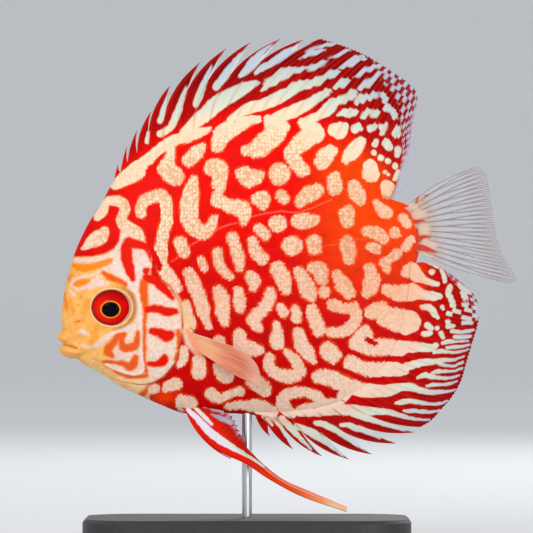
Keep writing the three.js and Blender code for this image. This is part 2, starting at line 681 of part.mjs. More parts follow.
const stand = new THREE.Group();
stand.add(node("stand_base", standBase(), STAND));
stand.add(node("stand_rod", standRod(), STEEL));

const fish = new THREE.Group();
fish.add(body, fins, stand);
export default fish;
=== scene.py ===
"""A discus fish on a display stand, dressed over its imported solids. Metres, +Z up, head to -X, left flank to -Y.

The side view is drawn on the same plan grid as the solids: x runs to the tail, y runs down, one step is CELL.
"""

import math

import bpy
import numpy as np
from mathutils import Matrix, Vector

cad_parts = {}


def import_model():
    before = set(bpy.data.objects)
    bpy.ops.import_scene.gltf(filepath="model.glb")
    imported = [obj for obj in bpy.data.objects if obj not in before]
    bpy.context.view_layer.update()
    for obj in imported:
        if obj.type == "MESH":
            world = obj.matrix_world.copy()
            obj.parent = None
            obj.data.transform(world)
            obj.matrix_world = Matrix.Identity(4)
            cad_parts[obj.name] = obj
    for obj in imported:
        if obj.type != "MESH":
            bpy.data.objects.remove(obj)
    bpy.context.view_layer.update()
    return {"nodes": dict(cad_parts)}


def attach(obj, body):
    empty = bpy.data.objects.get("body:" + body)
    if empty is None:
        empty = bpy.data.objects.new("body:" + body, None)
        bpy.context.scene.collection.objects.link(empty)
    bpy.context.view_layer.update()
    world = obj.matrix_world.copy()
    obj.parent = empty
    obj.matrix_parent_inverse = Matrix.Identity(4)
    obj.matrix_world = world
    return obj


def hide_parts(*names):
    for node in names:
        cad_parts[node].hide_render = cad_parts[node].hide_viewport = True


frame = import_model()

MM = 0.001
CELL = 136 / 453.3 * MM
STAND_X, FLOOR_Y = 247, 544
THICKEST = (200.0, 295.0)
MAX_HALF_WIDTH = 10.6  # mm
EYE = (112.0, 307.5)
EYE_RADIUS = (5.95, 3.4, 5.4)  # mm, along, across and up
EYE_PROUD = 1.5  # mm
SOCKET = (19.8, 18.0)  # plan steps, the ring of skin round the eye, along and up
IRIS = (19.5, 17.5)  # plan steps, the iris seen from the side, along and up
IRIS_MM = (5.85, 5.25)
IMAGE_SIDE = 533
CAMERA_DISTANCE = 2.0
SENSOR = 36  # mm


def strokes(text):
    """Strokes or outlines from text: semicolons part them, commas part their points (x y, or x y radius)."""
    return [[tuple(float(n) for n in point.split()) for point in row.split(",")] for row in text.split(";")]


# The body's edge, from above the lips over the back and round by the belly.
BODY_EDGE = strokes("""
62 330, 61.5 318, 63 300, 67 280, 73 258, 81 238, 91 219, 102 202, 114 181, 126 170, 145 157, 165 143, 190 132,
215 125, 245 118, 275 116, 302 121, 326 133, 347 148, 365 164, 379 181, 390 198, 403 203, 413 209, 419 222,
421 238, 418 256, 416 264, 415 285, 412 310, 405 340, 392 366, 372 388, 345 403, 318 411, 290 415, 262 415.5,
235 413.5, 205 413.5, 183 413, 160 404.5, 140 395.5, 120 386, 100 373, 83 364, 76 358.5, 70 358.5, 64 356,
59.5 351, 60.5 346.5, 63.8 343.6, 59.5 341, 57 336.5, 59 332.5
""")[0]
# (degrees, half thickness of the edge in mm, power of the flank's fall)
FALL = [
    (15, 1.7, 1.22), (40, 1.3, 1.05), (75, 1.4, 0.88), (115, 1.9, 0.78), (145, 2.6, 0.68), (175, 3.0, 0.62),
    (200, 3.2, 0.6), (228, 2.4, 0.64), (262, 2.2, 0.68), (300, 1.4, 0.86), (340, 1.3, 1.1),
]


def world(x, y, lateral):
    """Plan x, plan y and millimetres from the middle plane to metres in the row frame."""
    x, y, lateral = np.broadcast_arrays(x, y, lateral)
    return np.stack([(x - STAND_X) * CELL, lateral * MM, (FLOOR_Y - y) * CELL], -1)


def smooth(t):
    t = np.clip(t, 0, 1)
    return t * t * (3 - 2 * t)


def ramp(value, start, span):
    """0 up to start, 1 from start + span on, smooth between."""
    return smooth((value - start) / span)


def fade(value, end, span):
    """1 up to end - span, 0 from end on, smooth between."""
    return smooth((end - value) / span)


def bell(value, middle, width):
    return np.exp(-(((value - middle) / width) ** 2))


def mix(a, b, t):
    return a + (b - a) * t


def catmull(points, samples, closed=False):
    """Points spread evenly along a centripetal curve through the given ones."""
    p = np.array(points, float)
    n = len(p)
    if closed:
        p = np.concatenate([p[-1:], p, p[:2]])
        spans = n
    else:
        p = np.concatenate([[2 * p[0] - p[1]], p, [2 * p[-1] - p[-2]]])
        spans = n - 1
    out = []
    for k in range(spans):
        p0, p1, p2, p3 = p[k : k + 4]
        knots = [0.0]
        for a, b in ((p0, p1), (p1, p2), (p2, p3)):
            knots.append(knots[-1] + max(np.linalg.norm(b - a), 1e-6) ** 0.5)
        t0, t1, t2, t3 = knots
        t = np.linspace(t1, t2, 40, endpoint=False)[:, None]
        a1 = (t1 - t) / (t1 - t0) * p0 + (t - t0) / (t1 - t0) * p1
        a2 = (t2 - t) / (t2 - t1) * p1 + (t - t1) / (t2 - t1) * p2
        a3 = (t3 - t) / (t3 - t2) * p2 + (t - t2) / (t3 - t2) * p3
        b1 = (t2 - t) / (t2 - t0) * a1 + (t - t0) / (t2 - t0) * a2
        b2 = (t3 - t) / (t3 - t1) * a2 + (t - t1) / (t3 - t1) * a3
        out.append((t2 - t) / (t2 - t1) * b1 + (t - t1) / (t2 - t1) * b2)
    out.append(p[1:2] if closed else p[-2:-1])
    q = np.concatenate(out)
    run = np.concatenate([[0], np.cumsum(np.linalg.norm(np.diff(q, axis=0), axis=1))])
    at = np.linspace(0, run[-1], samples + 1 if closed else samples)
    q = np.stack([np.interp(at, run, q[:, c]) for c in range(q.shape[1])], 1)
    return q[:-1] if closed else q


def interpolate(points, t):
    """A centripetal curve through points, read at shares t of its length."""
    q = catmull(points, 400)
    return np.stack([np.interp(t, np.linspace(0, 1, 400), q[:, c]) for c in range(q.shape[1])], -1)


edge_line = catmull(BODY_EDGE, 1400, closed=True)
edge_angle = np.arctan2(THICKEST[1] - edge_line[:, 1], edge_line[:, 0] - THICKEST[0])
edge_length = np.hypot(edge_line[:, 0] - THICKEST[0], edge_line[:, 1] - THICKEST[1])
order = np.argsort(edge_angle)
edge_angle, edge_length = edge_angle[order], edge_length[order]


def fall_at(angle):
    degrees = np.degrees(angle) % 360
    rows = FALL + [(FALL[0][0] + 360, *FALL[0][1:])]
    degrees = np.where(degrees < rows[0][0], degrees + 360, degrees)
    edge, power = np.zeros_like(degrees), np.zeros_like(degrees)
    for a, b in zip(rows, rows[1:]):
        here = (degrees >= a[0]) & (degrees <= b[0])
        t = smooth((degrees - a[0]) / (b[0] - a[0]))
        edge[here], power[here] = mix(a[1], b[1], t)[here], mix(a[2], b[2], t)[here]
    return edge, power


def share_of(x, y):
    """How far out a plan point lies, from 0 at the thickest place to 1 at the edge, and its direction."""
    angle = np.arctan2(THICKEST[1] - y, x - THICKEST[0])
    radius = np.interp(angle, edge_angle, edge_length, period=2 * math.pi)
    return np.hypot(x - THICKEST[0], y - THICKEST[1]) / radius, angle


def half_width(x, y):
    share, angle = share_of(x, y)
    share = np.clip(share, 0, 1)
    edge, power = fall_at(angle)
    rim = edge * np.sqrt(1 - share**14)
    return rim + (MAX_HALF_WIDTH - edge) * (1 - share**2) ** power


def stroke_distance(x, y, stroke):
    """Signed distance in plan steps to a stroke of (x, y, radius) points, negative inside."""
    if len(stroke) == 1:
        px, py, r = stroke[0]
        return np.hypot(x - px, y - py) - r
    best = np.full(np.shape(x), 1e9)
    for (ax, ay, ar), (bx, by, br) in zip(stroke, stroke[1:]):
        dx, dy = bx - ax, by - ay
        t = np.clip(((x - ax) * dx + (y - ay) * dy) / (dx * dx + dy * dy), 0, 1)
        best = np.minimum(best, np.hypot(x - ax - t * dx, y - ay - t * dy) - mix(ar, br, t))
    return best


def field(x, y, lines):
    """Signed distance to the nearest of several strokes; each is only measured near it."""
    best = np.full(np.shape(x), 40.0)
    for stroke in lines:
        s = np.array(stroke, float)
        low, high = (s[:, :2] - s[:, 2:]).min(0) - 12, (s[:, :2] + s[:, 2:]).max(0) + 12
        near = (x > low[0]) & (x < high[0]) & (y > low[1]) & (y < high[1])
        if near.any():
            best[near] = np.minimum(best[near], stroke_distance(x[near], y[near], stroke))
    return best


def inside(distance, soft):
    return smooth(0.5 - distance / (2 * soft))


def rounded(lines, per_span):
    """Strokes with their bends rounded off."""
    return [catmull(s, per_span * (len(s) - 1) + 1).tolist() if len(s) > 2 else s for s in lines]


def polygon_field(x, y, points):
    """Rough signed distance to a closed polygon, negative inside."""
    closed = list(points) + [points[0]]
    line = stroke_distance(x, y, [(px, py, 0) for px, py in closed])
    hit = np.zeros(np.shape(x), bool)
    for (ax, ay), (bx, by) in zip(closed, closed[1:]):
        cross = (ay > y) != (by > y)
        with np.errstate(divide="ignore", invalid="ignore"):
            hit ^= cross & (x < (bx - ax) * (y - ay) / (by - ay) + ax)
    return np.where(hit, -line, line)


def drawn(x, y, lines, soft):
    """1 inside any of several strokes, 0 outside, soft between."""
    return inside(field(x, y, lines), soft)


def traced(x, y, stroke, soft):
    return inside(stroke_distance(x, y, stroke), soft)


def within(x, y, points, soft):
    return inside(polygon_field(x, y, points), soft)


def groove(x, y, stroke, width):
    """1 on a stroke, falling away beside it."""
    return bell(np.clip(stroke_distance(x, y, stroke), 0, 99), 0, width)


def eye_ring(x, y):
    """How far out from the eye's middle a plan point lies: 1 is the edge of the socket."""
    return np.hypot((x - EYE[0]) / SOCKET[0], (y - EYE[1]) / SOCKET[1])


def noise(x, y, scale, seed):
    """Smooth value noise from -1 to 1."""
    u, v = x / scale, y / scale
    i, j = np.floor(u), np.floor(v)

    def corner(a, b):
        h = np.sin(a * 127.1 + b * 311.7 + seed * 74.7) * 43758.5453
        return h - np.floor(h)

    fu, fv = smooth(u - i), smooth(v - j)
    top = mix(corner(i, j), corner(i + 1, j), fu)
    low = mix(corner(i, j + 1), corner(i + 1, j + 1), fu)
    return 2 * mix(top, low, fv) - 1


# Cream marks of the left flank: x, y and radius along each.
CREAM = strokes("""
115 186 4, 124 179 7, 136 172 9; 136 170 8, 147 160 5, 158 151 5, 170 143 6, 186 137 5, 200 133 4.5, 210 129 2;
172 144 4, 171 158 5, 167 170 9, 176 177 8; 190 160 7, 197 152 7, 203 147 3;
218 146 6, 222 135 9, 235 127 8, 248 121 5, 258 119 3; 246 151 5, 260 148 9, 270 138 10, 280 127 9, 268 119 4;
304 124 6, 316 133 9, 307 139 10, 297 147 8, 291 154 7, 296 163 7, 303 171 6; 322 163 7, 326 156 8, 332 151 5;
334 178 6, 335 188 7; 302 201 6.5, 308 195 8, 317 190 6.5; 354 186 6.5, 357 195 7.5, 360 201 4; 347 214 8, 347 221 7;
299 222 7.5, 310 221 6.5, 315 220 4; 292 246 9.5; 314 244 8, 315 248 7; 346 241 6, 348 250 7.5, 349 259 6;
366 231 5, 375 233 6, 384 239 5.5; 395 233 5.2; 371 247 4.5, 376 249 4.5; 397 253 5, 391 258 4.5;
385 263 6.5, 387 269 4; 410 240 4.5, 406 247 5; 403 219 4.5, 407 225 4; 376 203 3.5, 383 211 6, 388 214 5;
370 166 6.5, 371 174 8.5; 361 142 5, 356 148 7, 349 156 6.5, 346 162 3.5; 334 130 6, 339 131 8;
386 186 5.5, 387 193 5.5;
213 168 8.5, 220 169 9, 219 182 7, 221 191 3.5, 216 198 6, 228 206 6, 241 208 7.5, 245 216 6, 243 223 3;
243 174 7, 250 178 9.5, 258 176 5.5; 279 174 11; 256 200 5, 265 198 6.5, 262 205 5; 281 195 5, 285 200 5;
194 180 4, 191 195 8, 189 212 9, 191 223 8, 202 233 7, 211 227 5, 214 219 4;
142 214 4.5, 142 204 5, 152 198 5.5, 165 197 6, 167 210 6, 166 225 6, 163 240 5.5, 161 255 6, 164 268 5.5, 171 277 6,
178 288 4; 108 201 4, 122 202 5, 126 209 5, 122 220 5, 129 229 7, 138 237 7.5, 143 243 3;
98 216 4.5, 104 209 5.5, 104 203 4; 83 248 1.6, 90 243 5, 97 239 7.4, 103 236 6.4, 105 231 4;
143 256 8.5, 143 268 8.5, 146 275 5; 181 243 6.5, 185 252 5.5; 202 261 4, 204 268 3.5;
218 253 5.5, 219 263 5, 224 271 4, 230 277 3.5; 232 238 5.5, 236 250 5, 240 262 5, 240 269 3.5;
252 241 4, 256 252 6, 262 258 6; 259 229 5, 265 236 5; 278 224 8.5; 303 222 5;
189 273 5, 194 285 7, 200 298 7, 204 312 6, 209 326 3.5; 219 290 5, 222 300 7, 223 312 7, 225 322 4;
238 291 4.5, 240 300 6, 240 309 4.5; 250 276 5, 254 281 6.5, 253 288 4;
270 291 4.5, 269 300 6, 261 311 6, 254 320 7, 260 328 3.5; 280 306 4, 284 313 4.5; 278 268 7, 283 280 7.5, 286 289 5;
295 309 4.5, 297 317 5; 277 324 3.5, 278 332 5, 276 340 7, 280 345 4; 219 342 7;
239 335 6, 241 344 7, 252 349 7, 259 349 4.5; 199 361 6.5, 199 371 7; 219 367 6, 224 374 8, 229 378 4;
183 349 4, 184 358 4, 180 364 3; 270 357 5, 269 366 5, 277 374 6, 290 376 6.5, 300 371 5.5, 295 361 5, 287 352 3.5;
249 381 4, 259 384 8, 265 390 6.5; 211 393 5.5, 219 398 5, 229 394 3.5, 240 391 5;
229 407 4.5, 245 405 4.5, 260 407 7, 272 411 6; 168 387 5, 176 384 6.5; 184 403 9, 190 402 7; 147 392 3.5, 156 388 4;
186 303 3, 189 315 5, 190 327 6; 299 271 5, 303 280 7, 308 291 8, 311 297 5; 313 268 6, 320 270 7.5, 321 279 6;
324 292 6; 337 275 5.5, 343 285 8, 349 292 6.5; 369 268 5.5, 372 278 7, 370 288 7.5, 366 293 5;
333 305 6, 343 308 5, 354 308 5.5, 356 318 5.5, 350 327 5.5, 340 332 5.5, 331 332 5; 312 309 5, 315 319 7, 319 330 7;
299 333 6, 301 343 7, 308 354 6.5, 313 361 3; 328 350 8.5, 333 355 8; 388 290 6, 398 293 8, 412 292 8.5;
406 273 4, 411 268 6, 416 276 6; 372 312 7, 383 309 7, 385 317 9, 400 320 11, 407 322 9, 405 330 5;
319 376 6.5, 332 378 8, 346 385 7, 362 390 7, 380 391 6;
366 329 4, 363 337 9, 354 344 5, 368 347 7, 382 347 8, 400 349 7; 351 363 7, 366 369 7, 386 369 7, 400 370 6;
318 398 6, 305 392 5, 292 392 5, 283 398 6, 284 407 6, 292 413 5; 300 411 5, 320 409 7, 340 409 5;
320 401 5, 331 403 4, 342 398 5, 347 391 6
""")


# Pale marks that lie on the fins, or run out on to them.
FIN_MARKS = strokes("""
148 133 1.2, 147 142 2; 160 121 2.6, 163 111 2.2, 167 98 1; 160 134 3, 170 128 3, 177 114 3.6, 181 102 2.6, 186 88 1;
196 104 3, 201 91 3.4, 205 80 2.2, 211 67 0.8; 216 87 3.2, 224 77 4, 231 66 2.6, 240 54 1;
184 133 4, 196 122 6, 207 113 7, 218 103 8, 228 97 7, 237 92 6.5, 247 87 5, 256 82.5 2.2;
240 76 1.5, 247 70 4, 255 61 4.5, 261 53 2.5, 271 45 0.8;
256 73 1.5, 262 68 3, 270 64 3, 280 57 3.3, 290 50.5 2.8, 300 46 1.8, 311 41 0.9;
262 90 1.5, 268 84 4, 277 78 5, 287 72 4.6, 298 70 2.4, 309 67 1;
306 73 0.8, 312 68 2.4, 318 66 2.8, 324 63 2, 328 61 0.8; 304 58 0.8, 309 55 1.6, 316 52 1.8, 325 50 0.8;
300 59 0.5, 308 52 1, 316 48 1.1, 324 45.5 1.5, 335 44 0.9;
230 120 3, 240 113 4, 250 108 5.5, 262 105 5.3, 272 101 5.8, 282 96 5.8, 290 91.5 5.3, 298 86 4.8, 306 85 4.3,
315 82.5 3.4, 323 78 2.8, 331 74 3.3, 337 70.5 1.4;
270 123 6, 282 116 5.8, 292 112 6.2, 302 107 5.8, 310 103 4.8, 317 98 3.8, 324 94 4.2, 330 90.5 2;
335 88 1.4, 341 84 3.8, 347 80 2;
302 125 4, 310 119 4, 318 116 4, 325 112 5.3, 331 106 6, 336 102 4, 342 100.5 3.4, 349 96 4.4, 355 91.5 2;
338 115 1, 343 113 3, 349 113 4.4, 355 112 2.6; 356 104 1, 361 99 4, 366 97 2.8; 369 98 2.6, 373 96 3.6, 377 94 1.4;
359 89 1, 364 86 2.8, 370 81 2.8, 376 76 1.8, 386 70 1; 353 78 1, 358 75 1.8, 364 71.5 1.9, 369 68 1;
366 71.5 1, 372 69 1.6, 377 66 1.4, 381 65 0.7; 338 68 1, 344 65.5 1.9, 350 61 1.9, 356 57.5 1.4, 362 56 1;
344 66.5 1.2, 352 64 1.8, 358 60 1.4, 365 59 0.9; 328 59.5 0.6, 333 57 1.2, 340 54 1.5, 348 51 1.1, 351 50 0.8;
362 117 2, 366 114 3.8, 369 112 2.8; 372 117 1.6, 375 113 2.8, 377 111 1.4; 334 130 6, 339 130 7.5, 345 126 3.4;
355 129 4.2, 358 126 3; 361 129 1.8; 370 129 3, 374 126 2.6; 383 128 3.8, 386 125 2.8, 382 133 2.6;
396 134 3.8, 398 129 2.8; 375 144 3.2, 376 141 2.3; 374 153 2.6; 386 143 4, 389 147 3.8; 398 150 3.2, 397 155 2.4;
381 158 3; 388 161 2.8; 395 166 3; 398 172 2.5, 395 179 2; 385 172 1.7; 388 174.5 1.7; 388 187 6.2; 385 100 3.4;
382 95 2.8; 387 108 4.2; 393 112 2.8, 395 117 3; 263 417 1.4, 268 420 1.8, 272 425 0.8;
272 416 3, 277 421 2.8, 281 427 1.5, 287 438 0.8, 291 443 0.5;
282 419 3.4, 288 425 2.8, 294 431 2.8, 301 439 1.7, 311 449 0.8;
296 426 2.6, 303 428.5 3, 310 431.5 3.6, 317 436 3.8, 324 441 2.4, 333 448 1.2, 343 456 0.5;
316 423 2.2, 323 424 2.8, 332 428 2.8, 339 432 2.4, 347 438 1.8, 357 445 1.2, 365 450 0.6;
341 425 1.3, 348 425 2.3, 356 428 2.8, 364 430.5 2.4, 372 434 1.5, 380 438 0.6;
300 412 3.6, 320 410.5 4.4, 340 409.5 5, 354 410 5, 366 411 4.4, 380 411.5 3, 392 413 2.4, 402 416 1.9, 415 419 1.1,
429 419.5 0.6; 354 413 4, 362 416 3.6, 370 419 2.6, 379 422.5 1.9, 389 426 1.2, 404 430.5 0.6;
396 403 1, 402 402 2.3, 410 401 2.3, 420 402.5 1.9, 430 404 1.4, 440 403.5 1, 447 401 0.7;
404 410.5 1, 412 411 1.7, 420 411.5 1.7, 430 412 1.2, 439 410.5 0.6;
380 391 6, 392 390 5.5, 398 387.5 3.8, 410 387 3.8, 420 390 2.8, 430 392 2.3, 440 392 1.8, 448 391 1, 455 389.5 0.6;
427 386 1, 433 384.7 1.5, 442 384.5 1.2, 450 383.5 1, 457 381.5 0.6;
418 377.5 1.4, 424 375 2.4, 430 376 2.4, 440 378 1.4, 450 378 1, 459 375.5 0.8;
432 373 1, 438 371.5 1.9, 446 371.3 1.2, 454 371 1, 462 368 0.7; 386 369 7, 399 369 6, 405 371 3.4;
406 367 4, 418 363.5 3.4, 427 362 3.4, 436 361.5 2.5, 444 360 1.8, 453 360 1.1, 464 356.5 0.7;
438 363 1.4, 445 365 1.1, 453 366 1, 463 362 0.7;
434 352.5 1.4, 440 351 1.8, 450 352.3 1.1, 460 351.5 0.9, 468 349.5 0.6;
447 348 1.2, 455 347 1.4, 463 346.5 1.1, 470 344.5 0.6;
400 347 6.6, 412 347 5, 422 347 4.4, 432 348 3.4, 436 345 2.3; 443 343 1.8, 449 341.5 1.9, 456 341.5 1, 468 341 0.6;
441 333 2, 443 337 1.9; 427 325 2.8, 431 328 2.8; 424 334 2.8, 430 333 2.4; 437 328 1.8;
422 307 2, 430 308 3.4, 434 313 2.8, 438 318 1.4; 442 307 1.6, 443 309 1.4; 449 314 2.8; 448 321 2.4;
448 326 2.4, 454 326 1.4; 452 331 2, 460 332 1.7, 470 331 1.1, 474 330 0.6; 455 337 1.5, 463 337 1.9, 470 336 1.2;
450 287 2.4, 448 293 2.8, 451 299 2.4, 453 305 2.8; 458 312 2.4, 454 311 1.8; 464 304 2.3, 467 304 1.8;
466 310 1.9, 470 310 1.8; 463 318 1.9, 470 318 1.6; 463 323 1.8, 472 323 1.1; 474 308 1.1, 478 309 0.8;
474 315 1.6, 478 315 0.8; 463 293 2.8, 465 298 2.8; 459 285 1.8, 464 289 2.3, 470 293 1.6; 432 272 2.8;
404 272 4, 411 268 6, 418 276 5.6, 425 280 3.4, 432 283 2.5, 438 284 1.9;
388 290 6, 398 293 7.6, 412 292 7.6, 424 295 4.4, 434 296 4.2, 439 296 3; 441 270 1.4, 444 276 1.9, 445 281 1.9;
388 319 9, 400 321 11.4, 409 322 11.4; 424 261 0.9, 431 264 1, 438 268 0.7
""")
ALL_MARKS = rounded(CREAM + FIN_MARKS, 2)
RED_SPOTS = strokes("""
153.5 252 3.4, 157.5 261 3.8, 161 269 2; 367.5 340.5 3, 374 344 2.8; 313 385 2.6, 325 390 3.2, 335 396 2.8
""")
# Outer parts where short dashes of red and clear membrane alternate between the rays.
DASHED = strokes("""
372 56, 380 80, 392 92, 400 106, 401 124, 403 150, 400 172, 394 196, 430 200, 430 60;
438 264, 456 284, 470 300, 474 320, 490 320, 490 260
""")
CLEAR_MARGIN = strokes("419 96, 414 112, 411 128, 409 146, 404 160, 400 172, 397 186, 391 199, 440 204, 440 96")[0]


def combine(*parts):
    """Joins (vertices, faces, colours) pieces into one."""
    verts, faces, colours, count = [], [], [], 0
    for v, f, c in parts:
        verts.append(v)
        faces.append(f + count)
        colours.append(c)
        count += len(v)
    return np.concatenate(verts), np.concatenate(faces), np.concatenate(colours)


def grid_faces(rows, columns, wrap=False):
    i = np.arange(rows - 1)[:, None]
    j = np.arange(columns if wrap else columns - 1)[None, :]
    n = (j + 1) % columns
    a, b = i * columns + j, (i + 1) * columns + j
    c, d = (i + 1) * columns + n, i * columns + n
    return np.stack([a, b, c, d], -1).reshape(-1, 4)


def build_mesh(name, verts, faces, colours, uv):
    """An object with its paint as the colour attribute Paint and its layout as the UV map OFBake."""
    mesh = bpy.data.meshes.new(name)
    mesh.from_pydata(verts.tolist(), [], faces)
    mesh.validate()
    colour = mesh.color_attributes.new("Paint", "FLOAT_COLOR", "POINT")
    colour.data.foreach_set("color", colours.astype(np.float32).ravel())
    layer = mesh.uv_layers.new(name="OFBake")
    loops = np.zeros(len(mesh.loops), np.int32)
    mesh.loops.foreach_get("vertex_index", loops)
    layer.data.foreach_set("uv", uv[loops].astype(np.float32).ravel())
    mesh.polygons.foreach_set("use_smooth", np.ones(len(mesh.polygons), bool))
    mesh.update()
    obj = bpy.data.objects.new(name, mesh)
    bpy.context.collection.objects.link(obj)
    return obj


def side_uv(verts):
    """Plan view laid out twice: the left flank in the lower half, the right in the upper."""
    u = (verts[:, 0] + 0.06) / 0.145
    v = verts[:, 2] / 0.155
    return np.stack([0.02 + 0.96 * u, np.where(verts[:, 1] > 0, 0.5, 0) + 0.01 + 0.48 * v], -1)


def linear(*srgb):
    """An sRGB colour, 0 to 255, as linear light."""
    c = np.array(srgb) / 255
    return np.where(c <= 0.04045, c / 12.92, ((c + 0.055) / 1.055) ** 2.4)


def blend(base, colour, amount):
    return base + (np.array(colour) - base) * amount[..., None]


def coats(base, layers):
    """Layers of (colour, amount) laid over the base in turn."""
    for colour, amount in layers:
        base = blend(base, colour, amount)
    return base


def flat(colour, like):
    """One colour over a grid of the same shape as like."""
    return np.broadcast_to(colour, (*like.shape, 3))


RED_HIGH = linear(236, 10, 0)
RED_LOW = linear(197, 1, 0)
RED_TAIL = linear(240, 70, 0)
CREAM_HIGH = linear(250, 222, 188)
CREAM_LOW = linear(242, 210, 188)
CREAM_TAIL = linear(242, 180, 140)
FACE = linear(253, 190, 104)
FACE_PALE = linear(253, 220, 164)
LILAC = linear(240, 213, 202)
ORANGE = linear(250, 136, 8)
DEEP_ORANGE = linear(236, 84, 8)
FIN_RED = linear(172, 3, 1)
FIN_DARK = linear(112, 0, 2)
FIN_WHITE = linear(214, 220, 202)
FIN_BLUE = linear(196, 208, 226)
CLEAR_WEB = linear(190, 204, 228)

# Where the head's pale ground lies, and the marks on it.
HEAD_GROUND = strokes("""
40 256.5, 76 256.8, 93 256.6, 106 253.6, 115 248.5, 119.8 241, 121 231, 126 226, 136 238, 147 243, 152 256,
152 266, 149 274, 156 276.5, 168 282, 177 293, 181.5 306, 183 322, 182 338, 179.5 350, 178 359, 172 367, 164 376.5,
153 382.5, 148 386, 150 400, 130 400, 40 400
""")[0]
HEAD_WHITE = strokes("""
119 262, 124.5 236, 122 227, 131 225, 150 243, 156 262, 150 275, 138 292, 130 286, 122 272;
141 300, 146 330, 146 372, 128 371.5, 110 364, 106 352, 113 338, 126 329, 136 326;
110.7 258, 120.5 250, 123 258, 125 266, 128 274, 127 281, 116 279.5, 110.5 274, 103 268
""")
HEAD_ORANGE = strokes("""
75 266 2.6, 83 268 3.6, 93 266.5 3.6, 104 263.5 3.6, 111 260.5 2.8; 74.5 284.5 1.8, 81.5 283 3.6, 91 280 0.8;
69 279 1.8, 73 274.5 0.8; 64.5 294 1.5, 66 304 1.8, 67.5 311 0.8; 82 296.7 1.1; 78.7 305 1.3; 96.6 328 0.9;
92.3 340.6 0.9; 76 322 1.2, 83 320 1; 86 321 0.8
""")
# Painted shade: a brownish band in the groove behind the eye.
BEHIND_EYE_SHADE = strokes("129 288 1.5, 133 297 3, 134 308 3.4, 131 320 2")
HEAD_SOFT = strokes("92 343 2.5, 95.5 335 4, 98 326 2.6; 70 300 3, 74 312 3; 88 303 4, 84 312 3")
HEAD_RED = strokes("""
139 333 2, 138 342 3, 131 347 3.2, 124 347 3, 122 342 2, 125 334 1.4;
125 334 1.4, 119 336.5 2.2, 113 344 2.7, 108 351 3.2, 112 355 2;
136 357 1.9, 134 363 3.1, 130 367 2.7, 124 363.5 1.8, 114 362 0.6, 104 361.5 0.3;
104 273 0.9, 110 277 2, 120 281 1.5, 126 284 1.3;
147 277 2.6, 144.5 284 3, 144.5 294 3, 146 305 2, 145.5 318 1, 145 328 0.6, 145 345 0.5, 145 360 0.6, 146 371 1.4;
151 386 1.6, 146 391 1.8, 142 395 1.5; 178.5 331 1.3, 179.5 340 1.3, 178.5 348 0.8; 176.3 358.5 1, 178 353 0.9;
115 371 0.3, 126 375.6 0.7, 137 376.2 0.8, 147 375 0.7
""")
HEAD_BRIGHT = strokes("""
129 241 2.6, 127 250 4.2, 128 262 4.2, 131 271 3.4, 133.3 279 1;
129 242 3.6, 140 245 3, 147 246 3.6, 152 252 3.6, 156 260 3.8, 160 269 2.2;
148 309 1.6, 157 308.5 2.6, 167 311.5 3, 176 311.5 1.8; 152 331 1.8, 160 332.5 3.2, 167 336 4.2, 171.5 334 2.2;
149 363 0.8, 157 363.5 2, 164 360 3.2, 165 357 1.8; 148 277.5 3, 155 280 3.6, 162 286 3.2, 168 292 2.2, 173 298 0.8;
147.5 271.5 2.6
""")
HEAD_LILAC = strokes("""
75 260.4 2, 88 260 2.6, 101 258.7 2.8, 110.5 255.5 2.8, 117 250.6 3, 121 243 2, 123.5 235.4 2.6;
115 262.5 5, 119.5 271 6, 125 276.6 5, 131 286 3.6, 137 290 3.4;
108.5 268.5 1.4, 99 272.3 1.3, 91 275.5 1.3, 82.5 276.8 1.2, 74 280.4 1.4, 71.8 285 1.4, 78 289 1.4, 86 286.6 1.8,
93.5 281 1.8, 101 276 2; 91 288 1.8, 99 283.5 3.4, 108 283 2.2; 70.6 291 1.3, 74.5 295 1.3; 82 331 2.6, 88 334 1.6;
136.7 288 2.2, 139 300.5 2.4, 140.5 312 3, 138 325 4, 129 328.5 4, 120.5 331.5 2.8, 110.7 335 2.8, 104.5 340 3.2,
98 345 2.6, 89 347 1.6, 82.5 345 1; 128.5 337 2.8, 127 342 1.4;
117 345 2.6, 117 351 2.8, 126 353.6 2.8, 134.6 351.4 2.8, 140 345 2.2; 115 357 2, 124 358.8 2.2;
141 355 2, 140 361 3.2, 139 368 3.6, 131 372 2.2, 119 368.8 2.4, 108.5 364.4 1.6;
143 262 6, 140 272 5, 137 281 3.4, 137 290 3
""")
GILL_PLATE = strokes("""
150 287, 158 284, 166 291, 174 300, 180 310, 181.5 322, 180 338, 177 356, 170 367, 160 376, 149 377, 148 360,
147.5 330, 149 305
""")[0]
CHEEK_LINE = strokes("145 283 1, 144.5 300 0.9, 145 318 0.8, 144.6 345 0.8, 145 368 0.8")[0]
GILL_EDGE = strokes("""
158 277.5 0.6, 168 284 0.8, 178 299 0.9, 181.7 308 0.9, 182.8 322 0.9, 181.7 338.4 0.9, 179.5 349 0.9, 178 359 0.9,
172.5 366.6 0.9, 163.8 376.3 0.9, 153 382.3 0.8, 142 384.5 0.7, 132.4 383.4 0.5
""")[0]
CHEEK_FOLDS = strokes("""
104 366 0.3, 118 372.5 0.7, 132 377 0.7, 146 377.5 0.7; 92 358 0.3, 104 362 0.5, 116 363.5 0.3;
112 378 0.3, 124 382 0.5, 136 384 0.3
""")
WHITE_RIDGE = strokes("""
136 291 0.8, 139.5 301 1, 141 317 1, 141.6 338 1, 142 355 1, 144 366 1.2, 143 371 1.4, 136.7 374 1.3, 126 372.6 1.2,
115 368.6 1, 106 364 0.8
""")
LIPS = strokes("58 337 4, 66 341 4, 73 349 2; 60 350 4, 70 354 4")
LIP_ROLLS = strokes("55 337.5 1, 64 339.5 1, 74 344 0.5; 56 350 1, 66 351.5 1, 76 353 0.5")
MOUTH = strokes("60 343.6 0.4, 68 345.2 0.6, 77 348 0.4")[0]
MOUTH_GROOVE = strokes("55 343.2 0.2, 66 344.6 0.3, 77 348.2 0")[0]
NOSTRIL = (77.5, 321)
